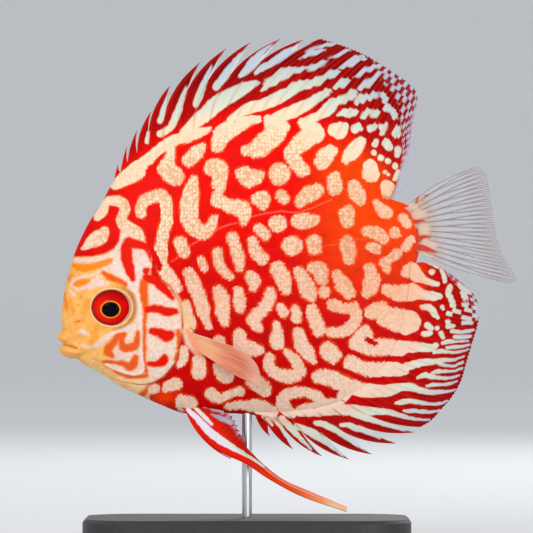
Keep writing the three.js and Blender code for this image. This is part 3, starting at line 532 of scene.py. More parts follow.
NOSTRILS = strokes("66.8 326.5 0.2; 66.3 329 0.1; 78 321.5 0.3, 80 320.6 0.2")
UPPER_JAW = strokes("64 330 0, 72 334 0, 80 345 0, 81 356 0")[0]
PECTORAL_LOBE = strokes("186 331 3.5, 192 341 6.5, 200 350 6")
BEHIND_GILL = strokes("178 296 1, 184 309 2.6, 187.5 320 3.6, 190 327 3.6")
PECTORAL_CREASE = strokes("190.5 327.5 0.4, 195.5 331 0.7, 201 335.5 0.4")[0]
LATERAL_LINE = strokes("""
172 262 0.4, 190 247 0.5, 210 233 0.6, 230 225 0.6, 250 218 0.6, 265 213 0.6, 280 211 0.6, 300 212 0.5,
320 205 0.5, 332 199 0.4
""")[0]
LATERAL_REAR = strokes("318 247 0.2, 336 244.5 0.35, 350 240.5 0.35, 366 239.5 0.2")[0]

HEAD_ORANGE, HEAD_RED, HEAD_BRIGHT = rounded(HEAD_ORANGE, 4), rounded(HEAD_RED, 4), rounded(HEAD_BRIGHT, 4)
HEAD_LILAC, HEAD_SOFT, CHEEK_FOLDS = rounded(HEAD_LILAC, 4), rounded(HEAD_SOFT, 4), rounded(CHEEK_FOLDS, 4)
WHITE_RIDGE = rounded(WHITE_RIDGE, 4)
GILL_EDGE, LATERAL_LINE = rounded([GILL_EDGE, LATERAL_LINE], 5)

SCALE_SIZE = 2.9  # plan steps
ROW_STEP = 0.87  # share of the scale size from one row to the next


def scale_cells(x, y):
    """The middle of the scale that a plan point falls in, on a brick lattice."""
    row = np.round(x / (SCALE_SIZE * ROW_STEP))
    shift = 0.5 * (row % 2)
    column = np.round(y / SCALE_SIZE - shift)
    return row * SCALE_SIZE * ROW_STEP, (column + shift) * SCALE_SIZE


def other_flank(x, y):
    """The right flank carries the same marks drawn a little differently."""
    share, _ = share_of(x, y)
    keep = ramp(x, 150, 60) * fade(share, 0.97, 0.2)
    return (
        x + keep * (7 * np.sin(y / 21.0 + 0.6) + 3 * np.sin(x / 17.0)),
        y + keep * (7 * np.sin(x / 24.0 + 1.1) + 3 * np.sin(y / 15.0 + 2)),
    )


def red_at(x, y):
    """The flank's red, brighter on the back, orange toward the tail."""
    down = ramp(y, 170, 190)
    tailward = ramp(x, 285, 70) * fade(y, 330, 110) * ramp(y, 120, 50)
    red = blend(flat(RED_HIGH, x), RED_LOW, down)
    red = blend(red, RED_TAIL, tailward * 0.85)
    red = blend(red, linear(250, 60, 6), np.exp(-(((x - 163) / 15) ** 2) - ((y - 398) / 9) ** 2))
    return red * (1 + 0.1 * noise(x, y, 9, 3) + 0.05 * noise(x, y, 2.4, 4))[..., None]


def cream_at(x, y):
    down = ramp(y, 170, 190)
    tailward = ramp(x, 285, 70) * fade(y, 345, 60) * ramp(y, 150, 50) * fade(x, 425, 15)
    cream = blend(flat(CREAM_HIGH, x), CREAM_LOW, down)
    cream = blend(cream, linear(238, 192, 164), 0.8 * bell(y, 285, 70) * ramp(x, 150, 50))
    cream = blend(cream, CREAM_TAIL, tailward * 0.6)
    return cream * (1 + 0.05 * noise(x, y, 2.2, 5))[..., None]


def skin_paint(x, y, right):
    warp_x, warp_y = other_flank(x, y)
    px, py = np.where(right, warp_x, x), np.where(right, warp_y, y)
    px, py = px + 1.1 * noise(px, py, 8.5, 51), py + 1.1 * noise(px, py, 8.5, 52)
    jitter_x = px + 0.5 * noise(px, py, 3.1, 1)
    jitter_y = py + 0.5 * noise(px, py, 3.1, 2)
    cell_x, cell_y = scale_cells(jitter_x, jitter_y)
    scaly = 0.7 * ramp(x, 132, 12)
    sx, sy = mix(px, cell_x, scaly), mix(py, cell_y, scaly)
    share, _ = share_of(x, y)
    marks = field(sx, sy, ALL_MARKS)
    red, cream = red_at(x, y), cream_at(x, y)
    fringe = blend(red, linear(246, 98, 8), np.full(x.shape, 0.8))
    paint = blend(red, fringe, inside(marks - 1.0, 1.0) * 0.8 * (1 - ramp(share, 0.9, 0.1)))
    pale = inside(marks - 0.1, 0.6)
    paint = blend(paint, cream, pale)
    pale = pale * (1 - ramp(share, 0.84, 0.14)) * (1 - 0.6 * ramp(y, 235, 90))
    paint = blend(paint, red, drawn(sx, sy, RED_SPOTS, 0.6))

    ground = within(x, y, HEAD_GROUND, 1.2)
    back = ramp(x, 132, 20)
    face = blend(flat(FACE, x), FACE_PALE, ramp(y, 352, 22) * 0.85)
    face = face + (cream - face) * back[..., None] * 0.85
    face = blend(face, linear(240, 158, 72), 0.4 * smooth(0.5 + noise(x, y, 7, 6)) * (1 - back))
    for region in HEAD_WHITE:
        face = blend(face, LILAC, within(x, y, region, 2.0) * 0.8)
    # painted shade in the groove behind the eye
    face = blend(face, linear(204, 138, 100), drawn(x, y, BEHIND_EYE_SHADE, 2.0) * 0.55)
    face = blend(face, LILAC, drawn(x, y, HEAD_LILAC, 1.4) * 0.9)
    face = blend(face, linear(240, 216, 200), within(x, y, GILL_PLATE, 1.5) * 0.9)
    face = face * (1 + 0.07 * noise(x, y, 2.4, 9))[..., None]
    wavy_x, wavy_y = x + 0.7 * noise(x, y, 3.6, 7), y + 0.7 * noise(x, y, 3.6, 8)
    dark, bright = field(wavy_x, wavy_y, HEAD_RED), field(wavy_x, wavy_y, HEAD_BRIGHT)
    face = coats(face, [
        (linear(246, 158, 56), drawn(x, y, HEAD_SOFT, 2.6) * 0.75),
        (ORANGE, drawn(wavy_x, wavy_y, HEAD_ORANGE, 1.1) * 0.9),
        (ORANGE, inside(dark - 1.9, 1.1) * 0.7),
        (linear(236, 84, 10), inside(dark - 0.7, 0.9) * 0.9),
        (DEEP_ORANGE, inside(bright - 2.0, 1.0) * 0.8),
        (linear(230, 22, 2), inside(bright - 1.0, 0.8)),
        (linear(252, 236, 222), drawn(x, y, WHITE_RIDGE, 0.8) * 0.7),
    ])
    paint = blend(paint, face, ground)
    pale = np.maximum(pale * (1 - ground), ground * ramp(x, 134, 14) * 0.2)

    lobe, tan = drawn(x, y, PECTORAL_LOBE, 2.4), drawn(x, y, BEHIND_GILL, 2.2)
    pale = pale * (1 - np.maximum(tan, lobe))
    ring = eye_ring(x, y)
    line = np.maximum(traced(px, py, LATERAL_LINE, 0.6) * 0.6, traced(px, py, LATERAL_REAR, 0.6) * 0.4)
    paint = coats(paint, [
        (linear(170, 40, 10), traced(x, y, GILL_EDGE, 0.6) * 0.7),
        # painted shade in the folds of the lower cheek
        (linear(206, 112, 60), drawn(x, y, CHEEK_FOLDS, 0.6) * 0.6),
        (linear(240, 192, 136), tan * 0.75),
        (linear(248, 214, 190), lobe * 0.9),
        (linear(236, 150, 106), lobe * smooth((x - 183 - 0.45 * (y - 331)) / 5) * 0.9),
        # painted shade in the crease at the pectoral fin's root
        (linear(120, 50, 24), traced(x, y, PECTORAL_CREASE, 0.7) * 0.8),
        # painted shade in the groove round the eye socket, on its rear side
        (linear(150, 84, 46), 0.55 * bell(ring, 1.2, 0.1) * ramp(x, 104, 24)),
        (linear(252, 222, 160), bell(ring, 1.045, 0.035)),
        (linear(214, 180, 160), fade(ring, 1.01, 0.02)),
        (linear(252, 186, 100), drawn(x, y, LIPS, 3) * 0.7),
        # painted shade in the slit between the lips
        (linear(170, 96, 40), traced(x, y, MOUTH, 0.8) * 0.8),
        # painted shade in the nostril openings
        (linear(96, 60, 44), drawn(x, y, NOSTRILS, 0.7) * 0.7),
        (linear(250, 150, 110), line * (0.75 + 0.25 * np.sin(px * 1.6))),
    ])
    return np.concatenate([np.clip(paint, 0, 1), pale[..., None]], -1)


def skin_relief(x, y):
    """Millimetres that the skin stands proud of the plain body."""
    ring = eye_ring(x, y)
    nostril = np.hypot(x - NOSTRIL[0], y - NOSTRIL[1])
    lips = np.clip(field(x, y, LIP_ROLLS) + 1, 0, 99)
    return (
        0.32 * ramp(x, 120, 50) * within(x, y, HEAD_GROUND, 1.5) * ramp(x, 128, 20)
        - 0.22 * inside(stroke_distance(x, y, CHEEK_LINE) + 0.4, 1.2)
        - 0.08 * traced(x, y, GILL_EDGE, 1.0)
        - 0.14 * drawn(x, y, CHEEK_FOLDS, 1.0)
        + 0.14 * drawn(x, y, WHITE_RIDGE, 1.4)
        + 0.75 * drawn(x, y, PECTORAL_LOBE, 5)
        - 0.3 * traced(x, y, PECTORAL_CREASE, 1.2)
        + 0.38 * bell(ring, 1.07, 0.06)
        - 0.3 * bell(ring, 1.27, 0.07) * ramp(x, 108, 20)
        - 1.2 * fade(ring, 1.01, 0.05)
        + 0.16 * bell(nostril, 2.4, 0.9)
        - 0.4 * bell(nostril, 0, 1.2)
        + 0.75 * bell(lips, 0, 3.0)
        - 1.0 * groove(x, y, MOUTH_GROOVE, 1.1)
        - 0.2 * groove(x, y, UPPER_JAW, 1.3)
        + 0.06 * traced(x, y, LATERAL_LINE, 0.9)
    )


def make_skin(columns=1120, rings=150):
    outline = catmull(BODY_EDGE, columns, closed=True)
    share = 1 - (1 - np.linspace(0.003, 1, rings)) ** 1.35
    parts = []
    for right in (False, True):
        x = mix(THICKEST[0], outline[None, :, 0], share[:, None])
        y = mix(THICKEST[1], outline[None, :, 1], share[:, None])
        width = half_width(x, y)
        calm = fade(share[:, None], 1, 0.05)  # relief dies out at the edge, less so at the lips
        lateral = np.maximum(width + skin_relief(x, y) * mix(calm, 1.0, fade(x, 90, 14) * 0.6), 0.05)
        lateral[-1] = 0
        verts = world(x, y, lateral if right else -lateral).reshape(-1, 3)
        faces = grid_faces(rings, columns, wrap=True)
        if right:
            faces = faces[:, ::-1]
        paint = skin_paint(x, y, right).reshape(-1, 4)
        parts.append((verts, faces, paint))
    verts, faces, colours = combine(*parts)
    # The two flanks share the edge, and the small hole at each middle is closed.
    half = rings * columns
    edge = np.arange(columns) + (rings - 1) * columns
    remap = np.arange(2 * half)
    remap[edge + half] = edge
    faces = remap[faces]
    keep = np.unique(faces)
    back = np.zeros(2 * half, int)
    back[keep] = np.arange(len(keep))
    uv = side_uv(verts)
    mesh_faces = back[faces].tolist()
    points, paints, coords = verts[keep], colours[keep], uv[keep]
    for start, turn in ((0, False), (half, True)):
        ring = back[np.arange(columns) + start]
        middle = len(points)
        points = np.concatenate([points, points[ring].mean(0, keepdims=True)])
        paints = np.concatenate([paints, paints[ring].mean(0, keepdims=True)])
        coords = np.concatenate([coords, coords[ring].mean(0, keepdims=True)])
        after = np.roll(ring, -1)
        pairs = zip(after, ring) if turn else zip(ring, after)
        mesh_faces += [(int(a), int(b), middle) for a, b in pairs]
    return build_mesh("skin", points, mesh_faces, paints, coords)


def material(name, roughness, specular=0.5, coat=0.0, coat_roughness=0.1, subsurface=0.0):
    m = bpy.data.materials.new(name)
    m.use_nodes = True
    shader = m.node_tree.nodes["Principled BSDF"]
    shader.inputs["Roughness"].default_value = roughness
    shader.inputs["Specular IOR Level"].default_value = specular
    shader.inputs["Coat Weight"].default_value = coat
    shader.inputs["Coat Roughness"].default_value = coat_roughness
    if subsurface:
        shader.inputs["Subsurface Weight"].default_value = subsurface
        shader.inputs["Subsurface Radius"].default_value = (1.0, 0.35, 0.2)
        shader.inputs["Subsurface Scale"].default_value = 0.0015
    return m, m.node_tree, shader


def node(tree, kind, sockets=(), **settings):
    """A new shader node with its settings, and then its (socket, value) pairs, filled in."""
    made = tree.nodes.new("ShaderNode" + kind)
    for name, value in settings.items():
        setattr(made, name, value)
    for socket, value in sockets:
        made.inputs[socket].default_value = value
    return made


def painted(tree, shader, alpha=False):
    paint = node(tree, "Attribute", attribute_name="Paint")
    tree.links.new(paint.outputs["Color"], shader.inputs["Base Color"])
    if alpha:
        tree.links.new(paint.outputs["Alpha"], shader.inputs["Alpha"])


def bump_from(tree, shader, height, distance, strength):
    bump = node(tree, "Bump", [("Distance", distance), ("Strength", strength)])
    tree.links.new(height, bump.inputs["Height"])
    tree.links.new(bump.outputs["Normal"], shader.inputs["Normal"])


def skin_material():
    m, tree, shader = material("skin", 0.5, 0.05, coat=0.02, coat_roughness=0.3, subsurface=0.05)
    link = tree.links.new
    place = node(tree, "TexCoord")
    squash = node(tree, "Mapping", [("Scale", (1.15, 0.2, 1.0))])
    link(place.outputs["Object"], squash.inputs["Vector"])
    scales = node(tree, "TexVoronoi", [("Scale", 930), ("Randomness", 0.65)], feature="F1")
    link(squash.outputs["Vector"], scales.inputs["Vector"])
    # The rim of a scale is warmer and darker, most of all in the pale marks.
    paint = node(tree, "Attribute", attribute_name="Paint")
    rim = node(tree, "MapRange", [("From Min", 0.3), ("From Max", 0.65)])
    link(scales.outputs["Distance"], rim.inputs["Value"])
    depth = node(tree, "Math", [(1, 0.65), (2, 0.2)], operation="MULTIPLY_ADD")
    link(paint.outputs["Alpha"], depth.inputs[0])
    amount = node(tree, "Math", operation="MULTIPLY")
    link(rim.outputs["Result"], amount.inputs[0])
    link(depth.outputs["Value"], amount.inputs[1])
    tint = node(tree, "Mix", data_type="RGBA", blend_type="MULTIPLY")
    tint.inputs["B"].default_value = (0.8, 0.53, 0.37, 1)
    link(amount.outputs["Value"], tint.inputs["Factor"])
    link(paint.outputs["Color"], tint.inputs["A"])
    link(tint.outputs["Result"], shader.inputs["Base Color"])
    lift = node(tree, "Math", [(0, 1)], operation="SUBTRACT")
    link(amount.outputs["Value"], lift.inputs[1])
    bump_from(tree, shader, lift.outputs["Value"], 0.00012, 0.5)
    return m


skin = make_skin()
skin.data.materials.append(skin_material())
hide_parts("head", "trunk", "tail_stalk")
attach(skin, "root")


def make_eye(side, name):
    """An eyeball with its cornea; side is -1 on the left and 1 on the right."""
    rows, columns = 72, 120
    theta = np.linspace(0, math.pi, rows)[:, None]
    phi = np.linspace(0, 2 * math.pi, columns, endpoint=False)[None, :]
    out = np.sin(theta)
    dx, dz, dy = out * np.cos(phi), out * np.sin(phi), np.cos(theta) * np.ones_like(phi)
    centre = half_width(np.array(EYE[0]), np.array(EYE[1])) + EYE_PROUD - EYE_RADIUS[1]
    base = world(EYE[0], EYE[1], side * centre)
    front = 0.35 * np.exp(-((out / 0.62) ** 4)) * (dy > 0)  # the clear cornea stands proud of the iris
    verts = base + np.stack([
        dx * EYE_RADIUS[0], side * (dy * EYE_RADIUS[1] + front), dz * EYE_RADIUS[2],
    ], -1) * MM
    px = dx * EYE_RADIUS[0] / IRIS_MM[0] * IRIS[0]
    py = -dz * EYE_RADIUS[2] / IRIS_MM[1] * IRIS[1]
    pupil = np.hypot((px + 0.7) / 9, (py - 1.7) / 7.7)
    iris = np.hypot(px / IRIS[0], py / IRIS[1])
    angle = np.arctan2(py, px)
    paint = flat(linear(214, 8, 4), px).copy()
    streak = 0.5 + 0.5 * np.sin(angle * 46 + 3 * np.sin(angle * 7))
    paint = coats(paint, [
        (linear(150, 4, 6), 0.35 * streak * ramp(iris, 0.55, 0.3)),
        (linear(255, 40, 8), smooth(0.5 - 0.9 * np.cos(angle + 0.2)) * 0.5 * fade(iris, 1.0, 0.3)),
        (linear(140, 0, 4), smooth((-py / IRIS[1] - 0.2) / 0.5) * smooth((px + 30) / 20) * 0.55),
        (linear(150, 2, 6), ramp(iris, 0.86, 0.12) * 0.6),
        (linear(120, 74, 84), ramp(iris, 0.975, 0.02)),
        (linear(255, 186, 30), bell(pupil, 1.06, 0.05)),
        (linear(6, 5, 10), fade(pupil, 1.02, 0.04)),
    ])
    paint = np.where((dy <= 0)[..., None], linear(40, 6, 8), paint)
    colours = np.concatenate([paint, np.ones((*px.shape, 1))], -1).reshape(-1, 4)
    faces = grid_faces(rows, columns, wrap=True)
    verts = verts.reshape(-1, 3)
    faces = faces if side > 0 else faces[:, ::-1]
    return build_mesh(name, verts, faces.tolist(), colours, side_uv(verts))


eye_material, tree, shader = material("eye", 0.35, 0.02, coat=0.06, coat_roughness=0.04)
painted(tree, shader)
for side, name in ((-1, "left"), (1, "right")):
    eye = make_eye(side, f"eyeball_{name}")
    eye.data.materials.append(eye_material)
    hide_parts(f"eye_{name}")
    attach(eye, "root")


def ray_point(base, tip, bow, t):
    """Plan points along rays at shares t; base, tip and bow hold one row per ray."""
    chord = tip - base
    control = (base + tip) / 2 + np.stack([chord[..., 1] * bow, -chord[..., 0] * bow], -1)
    t = t[..., None]
    return (1 - t) ** 2 * base + 2 * (1 - t) * t * control + t * t * tip


def shell(x, y, lateral, half, paint):
    """A closed thin sheet about a grid of plan points."""
    rows, columns = x.shape
    one = world(x, y, lateral + half).reshape(-1, 3)
    two = world(x, y, lateral - half).reshape(-1, 3)
    n = rows * columns
    f = grid_faces(rows, columns)
    index = np.arange(n).reshape(rows, columns)
    loop = np.concatenate([index[0, :-1], index[:-1, -1], index[-1, :0:-1], index[:0:-1, 0]])
    after = np.roll(loop, -1)
    rim = np.stack([loop, after, after + n, loop + n], -1)
    faces = np.concatenate([f[:, ::-1], f + n, rim])
    colours = paint.reshape(-1, 4)
    verts = np.concatenate([one, two])
    a, b, c = (verts[f[0][k]] for k in range(3))
    if np.cross(b - a, c - a)[1] > 0:
        faces = faces[:, ::-1]
    return verts, faces, np.concatenate([colours, colours])


DORSAL_SPINES = [
    ((116, 179), (118, 165)), ((122, 174), (127, 147)), ((129, 167), (137, 131)), ((139, 160), (151, 112)),
    ((151, 153), (170, 86)), ((164, 144), (200, 63)), ((178, 137), (226, 49)), ((193, 131), (250, 43)),
    ((208, 127), (280, 39.5)), ((222, 124), (303, 40)),
]
DORSAL_BASE = [(236, 120), (262, 117), (290, 118), (318, 128), (343, 145), (364, 163), (380, 182), (389, 197)]
DORSAL_TIP = [
    (321, 38.5), (345, 46), (368, 56), (391, 70), (408, 82), (417, 92), (418, 104), (415.5, 122), (414, 142),
    (412, 160), (409, 176), (402, 190), (393, 199),
]
ANAL_SPINES = [
    ((257, 416), (270, 436)), ((265, 416), (293, 449)), ((277, 416), (322, 456)), ((290, 415), (349, 459)),
    ((304, 413), (372, 454)), ((318, 411), (396, 443)), ((332, 407), (414, 432)),
]
ANAL_BASE = [(346, 402), (365, 392), (384, 376), (398, 356), (407, 332), (413, 306), (416, 284), (417, 262.5)]
ANAL_TIP = [
    (421, 427), (431, 421), (443, 408), (453, 396), (461, 382), (467, 362), (473, 342), (478, 325), (480, 310),
    (475, 296), (463, 283.5), (450, 273.5), (436, 265.5), (424, 262),
]
TAIL_BASE = [(408, 205), (415, 213), (419, 224), (420.5, 238), (420, 247), (419, 252.5)]
TAIL_TIP = [
    (474, 166.5), (483, 169), (488, 180), (491, 197), (493.5, 215), (496.5, 233), (501, 250), (508, 263),
    (515, 274), (516.5, 281), (509, 284),
]


def soft_part(base, tip, fan, rays, columns, rows, ridge, root, painter):
    """A rayed web: rays raised as fine ridges; fan gives (share of tip, share of base, bow) along it."""
    s = np.linspace(0, 1, columns)
    share_tip, share_base, bows = np.array(fan).T
    b, e = interpolate(base, np.interp(s, share_tip, share_base)), interpolate(tip, s)
    bow = np.interp(s, share_tip, bows)
    t = np.linspace(-0.12, 1, rows)
    comb = 1 - 0.016 * np.abs(((s * (rays - 1) * 2) % 1) * 2 - 1)
    grid = ray_point(b[None], e[None], bow[None], np.maximum(t, 0)[:, None] * comb[None])
    on = ray_point(b, e, bow, np.full(columns, 0.05))
    away = (on - b) / np.linalg.norm(on - b, axis=1)[:, None]
    grid = grid + np.minimum(t, 0)[:, None, None] * 60 * away[None]
    x, y = grid[..., 0], grid[..., 1]
    phase = s[None] * (rays - 1)
    near = np.broadcast_to(np.abs(phase - np.round(phase)), x.shape)
    t = np.broadcast_to(np.maximum(t, 0)[:, None], x.shape)
    line = branching(near, t)
    half = 0.13 + ridge * line * (1 - 0.5 * t) * smooth(t / 0.2) + root * (1 - smooth(t / 0.42)) ** 2
    strip = np.floor(s * (rays - 1) * 2 + 0.5) / 2 / (rays - 1)
    near_strip = np.clip(np.round(strip * (columns - 1)), 0, columns - 1).astype(int)
    return shell(x, y, np.zeros_like(x), half, painter(x, y, phase, t, line, x[:, near_strip], y[:, near_strip]))


def branching(near, t):
    """Strength of the ray line at phase distance near from a ray that forks twice on its way out."""
    first = 0.25 * ramp(t, 0.25, 0.5)
    second = 0.125 * ramp(t, 0.6, 0.4)
    away = np.abs(np.abs(near - first) - second)
    return np.exp(-((away / mix(0.13, 0.06, t)) ** 2))


def hashed(a, b):
    h = np.sin(a * 12.9898 + b * 78.233) * 43758.5453
    return h - np.floor(h)


def fin_paint(x, y, phase, t, line, strip_x=None, strip_y=None):
    """The marks run on from the body; further out they break up into steps along the strips between the rays."""
    share, _ = share_of(x, y)
    out = share - 1
    wob_x, wob_y = x + 0.5 * noise(x, y, 3.3, 11), y + 0.5 * noise(x, y, 3.3, 12)
    if strip_x is not None:
        stepped = 0.75 * ramp(out, 0.1, 0.1) * fade(y, 326, 8)
        wob_x, wob_y = mix(wob_x, strip_x, stepped), mix(wob_y, strip_y, stepped)
    marks = field(wob_x, wob_y, ALL_MARKS)
    red = blend(red_at(x, y), FIN_RED, smooth(out / 0.12))
    red = blend(red, FIN_DARK, ramp(out, 0.12, 0.25))
    red = red * (1 + 0.16 * noise(phase * 6, t * 20, 2.0, 13))[..., None]
    red = blend(red, linear(226, 26, 4), line * 0.4 * smooth((out + 0.02) / 0.06))
    white = blend(cream_at(x, y), FIN_WHITE, ramp(out, 0.02, 0.12))
    white = blend(white, FIN_BLUE, ramp(out, 0.16, 0.2) * 0.9)
    white = blend(white, linear(220, 160, 130), line * mix(0.45, 0.2, smooth(out / 0.3)) * smooth((out + 0.02) / 0.06))
    pale = inside(marks - 0.3, 0.55)
    paint = blend(red, white, pale)
    alpha = mix(0.98, mix(0.96, 0.62, ramp(out, 0.1, 0.22)), pale)

    strip = np.floor(phase * 2 + 0.5)
    dash = (t * 6.2 + 0.5 * (strip % 2) + 0.3 * hashed(strip, 7.0)) % 1 > 0.56
    zone = np.maximum(*(within(x, y, p, 1.5) for p in DASHED))
    clear = zone * dash * (1 - pale)
    paint = blend(paint, CLEAR_WEB, clear * 0.9)
    paint = blend(paint, linear(214, 140, 140), zone * line * 0.15)
    alpha = mix(alpha, 0.42, clear)
    margin = within(x, y, CLEAR_MARGIN, 2.5)
    clear_red = blend(flat(linear(190, 204, 226), x), linear(176, 120, 120), line * 0.6)
    paint = blend(paint, clear_red, margin)
    alpha = mix(alpha, 0.16 + 0.25 * line, margin)
    return np.concatenate([np.clip(paint, 0, 1), alpha[..., None]], -1)


TAIL_RED = strokes("""
410 222 3, 417 221.5 2, 425 221 0.7; 416 240 4, 423 237 1.8, 431 237 0.7; 416 247 4, 427 249 2.5, 437 252.5 0.7;
403 203 1.6, 415 196.5 1.1, 428 187 0.7, 440 179.5 0.4; 407 206 1.4; 416 202 0.9, 418 197 1.1; 423 201 0.7;
425 196 0.8, 428 195 0.7; 416 231 2.6, 417 236 2
""")
TAIL_PALE = strokes("""
417 214 5, 424 214 3; 424 229 6; 426 243 4, 434 246 3; 423 255 2.5, 430 257 1.5; 409 206 3.5, 415 207 3
""")


def tail_paint(x, y, phase, t, line, strip_x, strip_y):
    web = flat(linear(196, 200, 212), x)
    root = 1 - ramp(t, 0.03, 0.38)
    colours = blend(web, linear(214, 172, 138), root * 0.8)
    colours = blend(colours, linear(146, 104, 80), line * mix(0.9, 0.8, t))
    colours = blend(colours, linear(238, 208, 184), drawn(x, y, TAIL_PALE, 2.2) * 0.8 * (1 - 0.4 * line))
    reds = inside(field(x + 0.5 * noise(x, y, 3, 21), y + 0.5 * noise(x, y, 3, 22), TAIL_RED), 0.8)
    colours = blend(colours, linear(206, 40, 12), reds * 0.92)
    alpha = np.maximum(0.2 + 0.5 * root + 0.5 * line * mix(1, 0.8, t), reds * 0.95)
    return np.concatenate([colours, np.clip(alpha, 0, 0.96)[..., None]], -1)


def web_part(a, b, notch, dip, rows, columns, root):
    """The web from one spine to the next, cut in between the first's tip and its notch on the second."""
    base_a, tip_a, base_b, tip_b = (np.array(end, float) for end in (*a[:2], *b[:2]))
    t = np.linspace(-0.1, 1, rows)
    up = np.maximum(t, 0)
    one = ray_point(base_a, tip_a, a[2], up * 0.985)
    two = ray_point(base_b, tip_b, b[2], up * notch)
    v = np.linspace(0, 1, columns)
    grid = one[:, None] + (two - one)[:, None] * v[None, :, None]
    sag = dip * up[:, None] ** 2 * np.sin(math.pi * v[None] ** 0.75)
    grid = grid - sag[..., None] * (one - base_a)[:, None]
    first = (tip_a - base_a) / 60
    grid = grid + np.minimum(t, 0)[:, None, None] * 60 * first / np.linalg.norm(first)
    x, y = grid[..., 0], grid[..., 1]
    half = np.full(x.shape, 0.13) + root * ((1 - smooth(up / 0.45)) ** 2)[:, None]
    along, across = np.broadcast_to(up[:, None], x.shape), np.broadcast_to(v[None], x.shape)
    line = np.exp(-((across / 0.09) ** 2)) + 0.35 * bell(across, 0.5, 0.05)
    paint = fin_paint(x, y, base_a[0] + across, along, line)
    rear = smooth((along - mix(0.97, 0.86, across)) / 0.03) * smooth(across / 0.15)
    paint[..., :3] = blend(paint[..., :3], linear(226, 226, 216), rear * 0.85)
    return shell(x, y, np.zeros_like(x), half, paint)


def spine_part(base, tip, bow, thick, thin, rows=26, sides=10):
    """One spine as a tapering rod, its foot sunk in the body; thick and thin are half widths in mm."""
    base, tip, t = np.array(base, float), np.array(tip, float), np.linspace(-0.08, 1, rows)
    points = ray_point(base, tip, bow, np.maximum(t, 0))
    first = tip - base
    points = points + np.minimum(t, 0)[:, None] * 70 * first / np.linalg.norm(first)
    along = np.gradient(points, axis=0)
    along = along / np.linalg.norm(along, axis=1)[:, None]
    radius = mix(thick, thin, np.maximum(t, 0) ** 0.8)
    angle = np.linspace(0, 2 * math.pi, sides, endpoint=False)
    across = np.stack([-along[:, 1], along[:, 0]], -1)
    x = points[:, None, 0] + across[:, None, 0] * np.cos(angle) * radius[:, None] * MM / CELL
    y = points[:, None, 1] + across[:, None, 1] * np.cos(angle) * radius[:, None] * MM / CELL
    verts = world(x, y, np.sin(angle)[None] * radius[:, None])
    paint = fin_paint(x, y, x * 0, np.broadcast_to(np.maximum(t, 0)[:, None], x.shape), x * 0 + 0.8)
    return verts.reshape(-1, 3), grid_faces(rows, sides, wrap=True), paint.reshape(-1, 4)


def spiny_part(spines, bows, notches, dip, after, thick, root):
    """The spines and the webs between them; after is the soft part's first ray, where the last web ends."""
    rays = [(b, e, mix(bows[0], bows[1], float(smooth(k / 5)))) for k, (b, e) in enumerate(spines)]
    parts = [spine_part(*ray, thick, 0.1) for ray in rays]
    for k, (one, two, notch) in enumerate(zip(rays, [*rays[1:], after], notches)):
        parts.append(web_part(one, two, notch, mix(dip, 0.05, k / len(rays)), 90, 26, root))
    return parts


def make_fin(name, node, parts, finish):
    verts, faces, colours = combine(*parts)
    obj = build_mesh(name, verts, faces.tolist(), colours, side_uv(verts))
    obj.data.materials.append(finish)
    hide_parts(node)
    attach(obj, "root")


fin_material, tree, shader = material("fin", 0.5, 0.05, subsurface=0.03)
painted(tree, shader, alpha=True)

DORSAL_FAN = [
    (0, 0, 0.22), (0.11, 0.2, 0.16), (0.22, 0.4, 0.1), (0.33, 0.6, 0.06), (0.44, 0.77, 0.03), (0.55, 0.9, 0.02),
    (0.72, 0.985, 0.01), (1, 1, 0),
]
ANAL_FAN = [
    (0, 0, -0.16), (0.088, 0.12, -0.16), (0.246, 0.31, -0.15), (0.349, 0.44, -0.13), (0.453, 0.58, -0.12),
    (0.541, 0.7, -0.1), (0.616, 0.82, -0.07), (0.69, 0.92, -0.04), (0.776, 0.98, -0.03), (1, 1, 0),
]
dorsal = [soft_part(DORSAL_BASE, DORSAL_TIP, DORSAL_FAN, 30, 340, 190, 0.14, 0.95, fin_paint)]
after = (DORSAL_BASE[0], DORSAL_TIP[0], 0.22)
notches = (0.04, 0.04, 0.05, 0.12, 0.17, 0.27, 0.44, 0.51, 0.58, 0.85)
dorsal += spiny_part(DORSAL_SPINES, (0.04, 0.27), notches, 0.16, after, 0.5, 0.95)
make_fin("dorsal_web", "dorsal_fin", dorsal, fin_material)
anal = [soft_part(ANAL_BASE, ANAL_TIP, ANAL_FAN, 29, 340, 190, 0.14, 1.3, fin_paint)]
after = (ANAL_BASE[0], ANAL_TIP[0], -0.16)
notches = (0.2, 0.2, 0.22, 0.27, 0.32, 0.38, 0.46)
anal += spiny_part(ANAL_SPINES, (-0.16, -0.22), notches, 0.05, after, 0.45, 1.5)
make_fin("anal_web", "anal_fin", anal, fin_material)
tail = [soft_part(TAIL_BASE, TAIL_TIP, [(0, 0, 0.1), (1, 1, -0.07)], 15, 420, 170, 0.12, 0.95, tail_paint)]
make_fin("tail_web", "tail_fin", tail, fin_material)

# The paired fins: plan points, and for the pectorals millimetres from the middle plane and the ray's bow.
PECTORAL_ROOT = [(190, 332, 9.3), (199, 351, 9.1)]
PECTORAL_TIPS = [
    (238, 348, 13.4, 0.03), (250, 356, 13.8, 0.03), (257, 364, 14, 0.03), (260.5, 375, 13.8, 0), (260, 385, 13.4, 0),
    (247, 380, 13, 0), (236, 375, 12.6, 0),
]
PELVIC_SPREAD = (2.9, 8.6)  # mm from the middle plane, at the root and the tip
PELVIC_LEADING = [
    (186, 410), (192, 420), (201, 434), (211, 446), (226, 454.5), (246, 463.5), (268, 478), (300, 495), (346, 511),
]
PELVIC_TRAILING = [
    (205, 407), (229, 413), (238, 427), (243, 440), (251, 452), (263, 464.5), (284, 480.5), (311, 492.5), (347.5, 508),
]
PELVIC_WHITE = strokes("""
188 409 2, 199 420 3, 209 431 4, 221 440 4, 231 446 3, 242 452 2, 252 458 1.4, 264 466 0.7;
196 408 2, 204 416 2, 212 424 1.5
""")
PELVIC_CLEAR = strokes("212 414 1, 221 418 2.4, 231 422 2.6; 212 409.5 0.8, 230 413 1.2; 238 432 1.2")


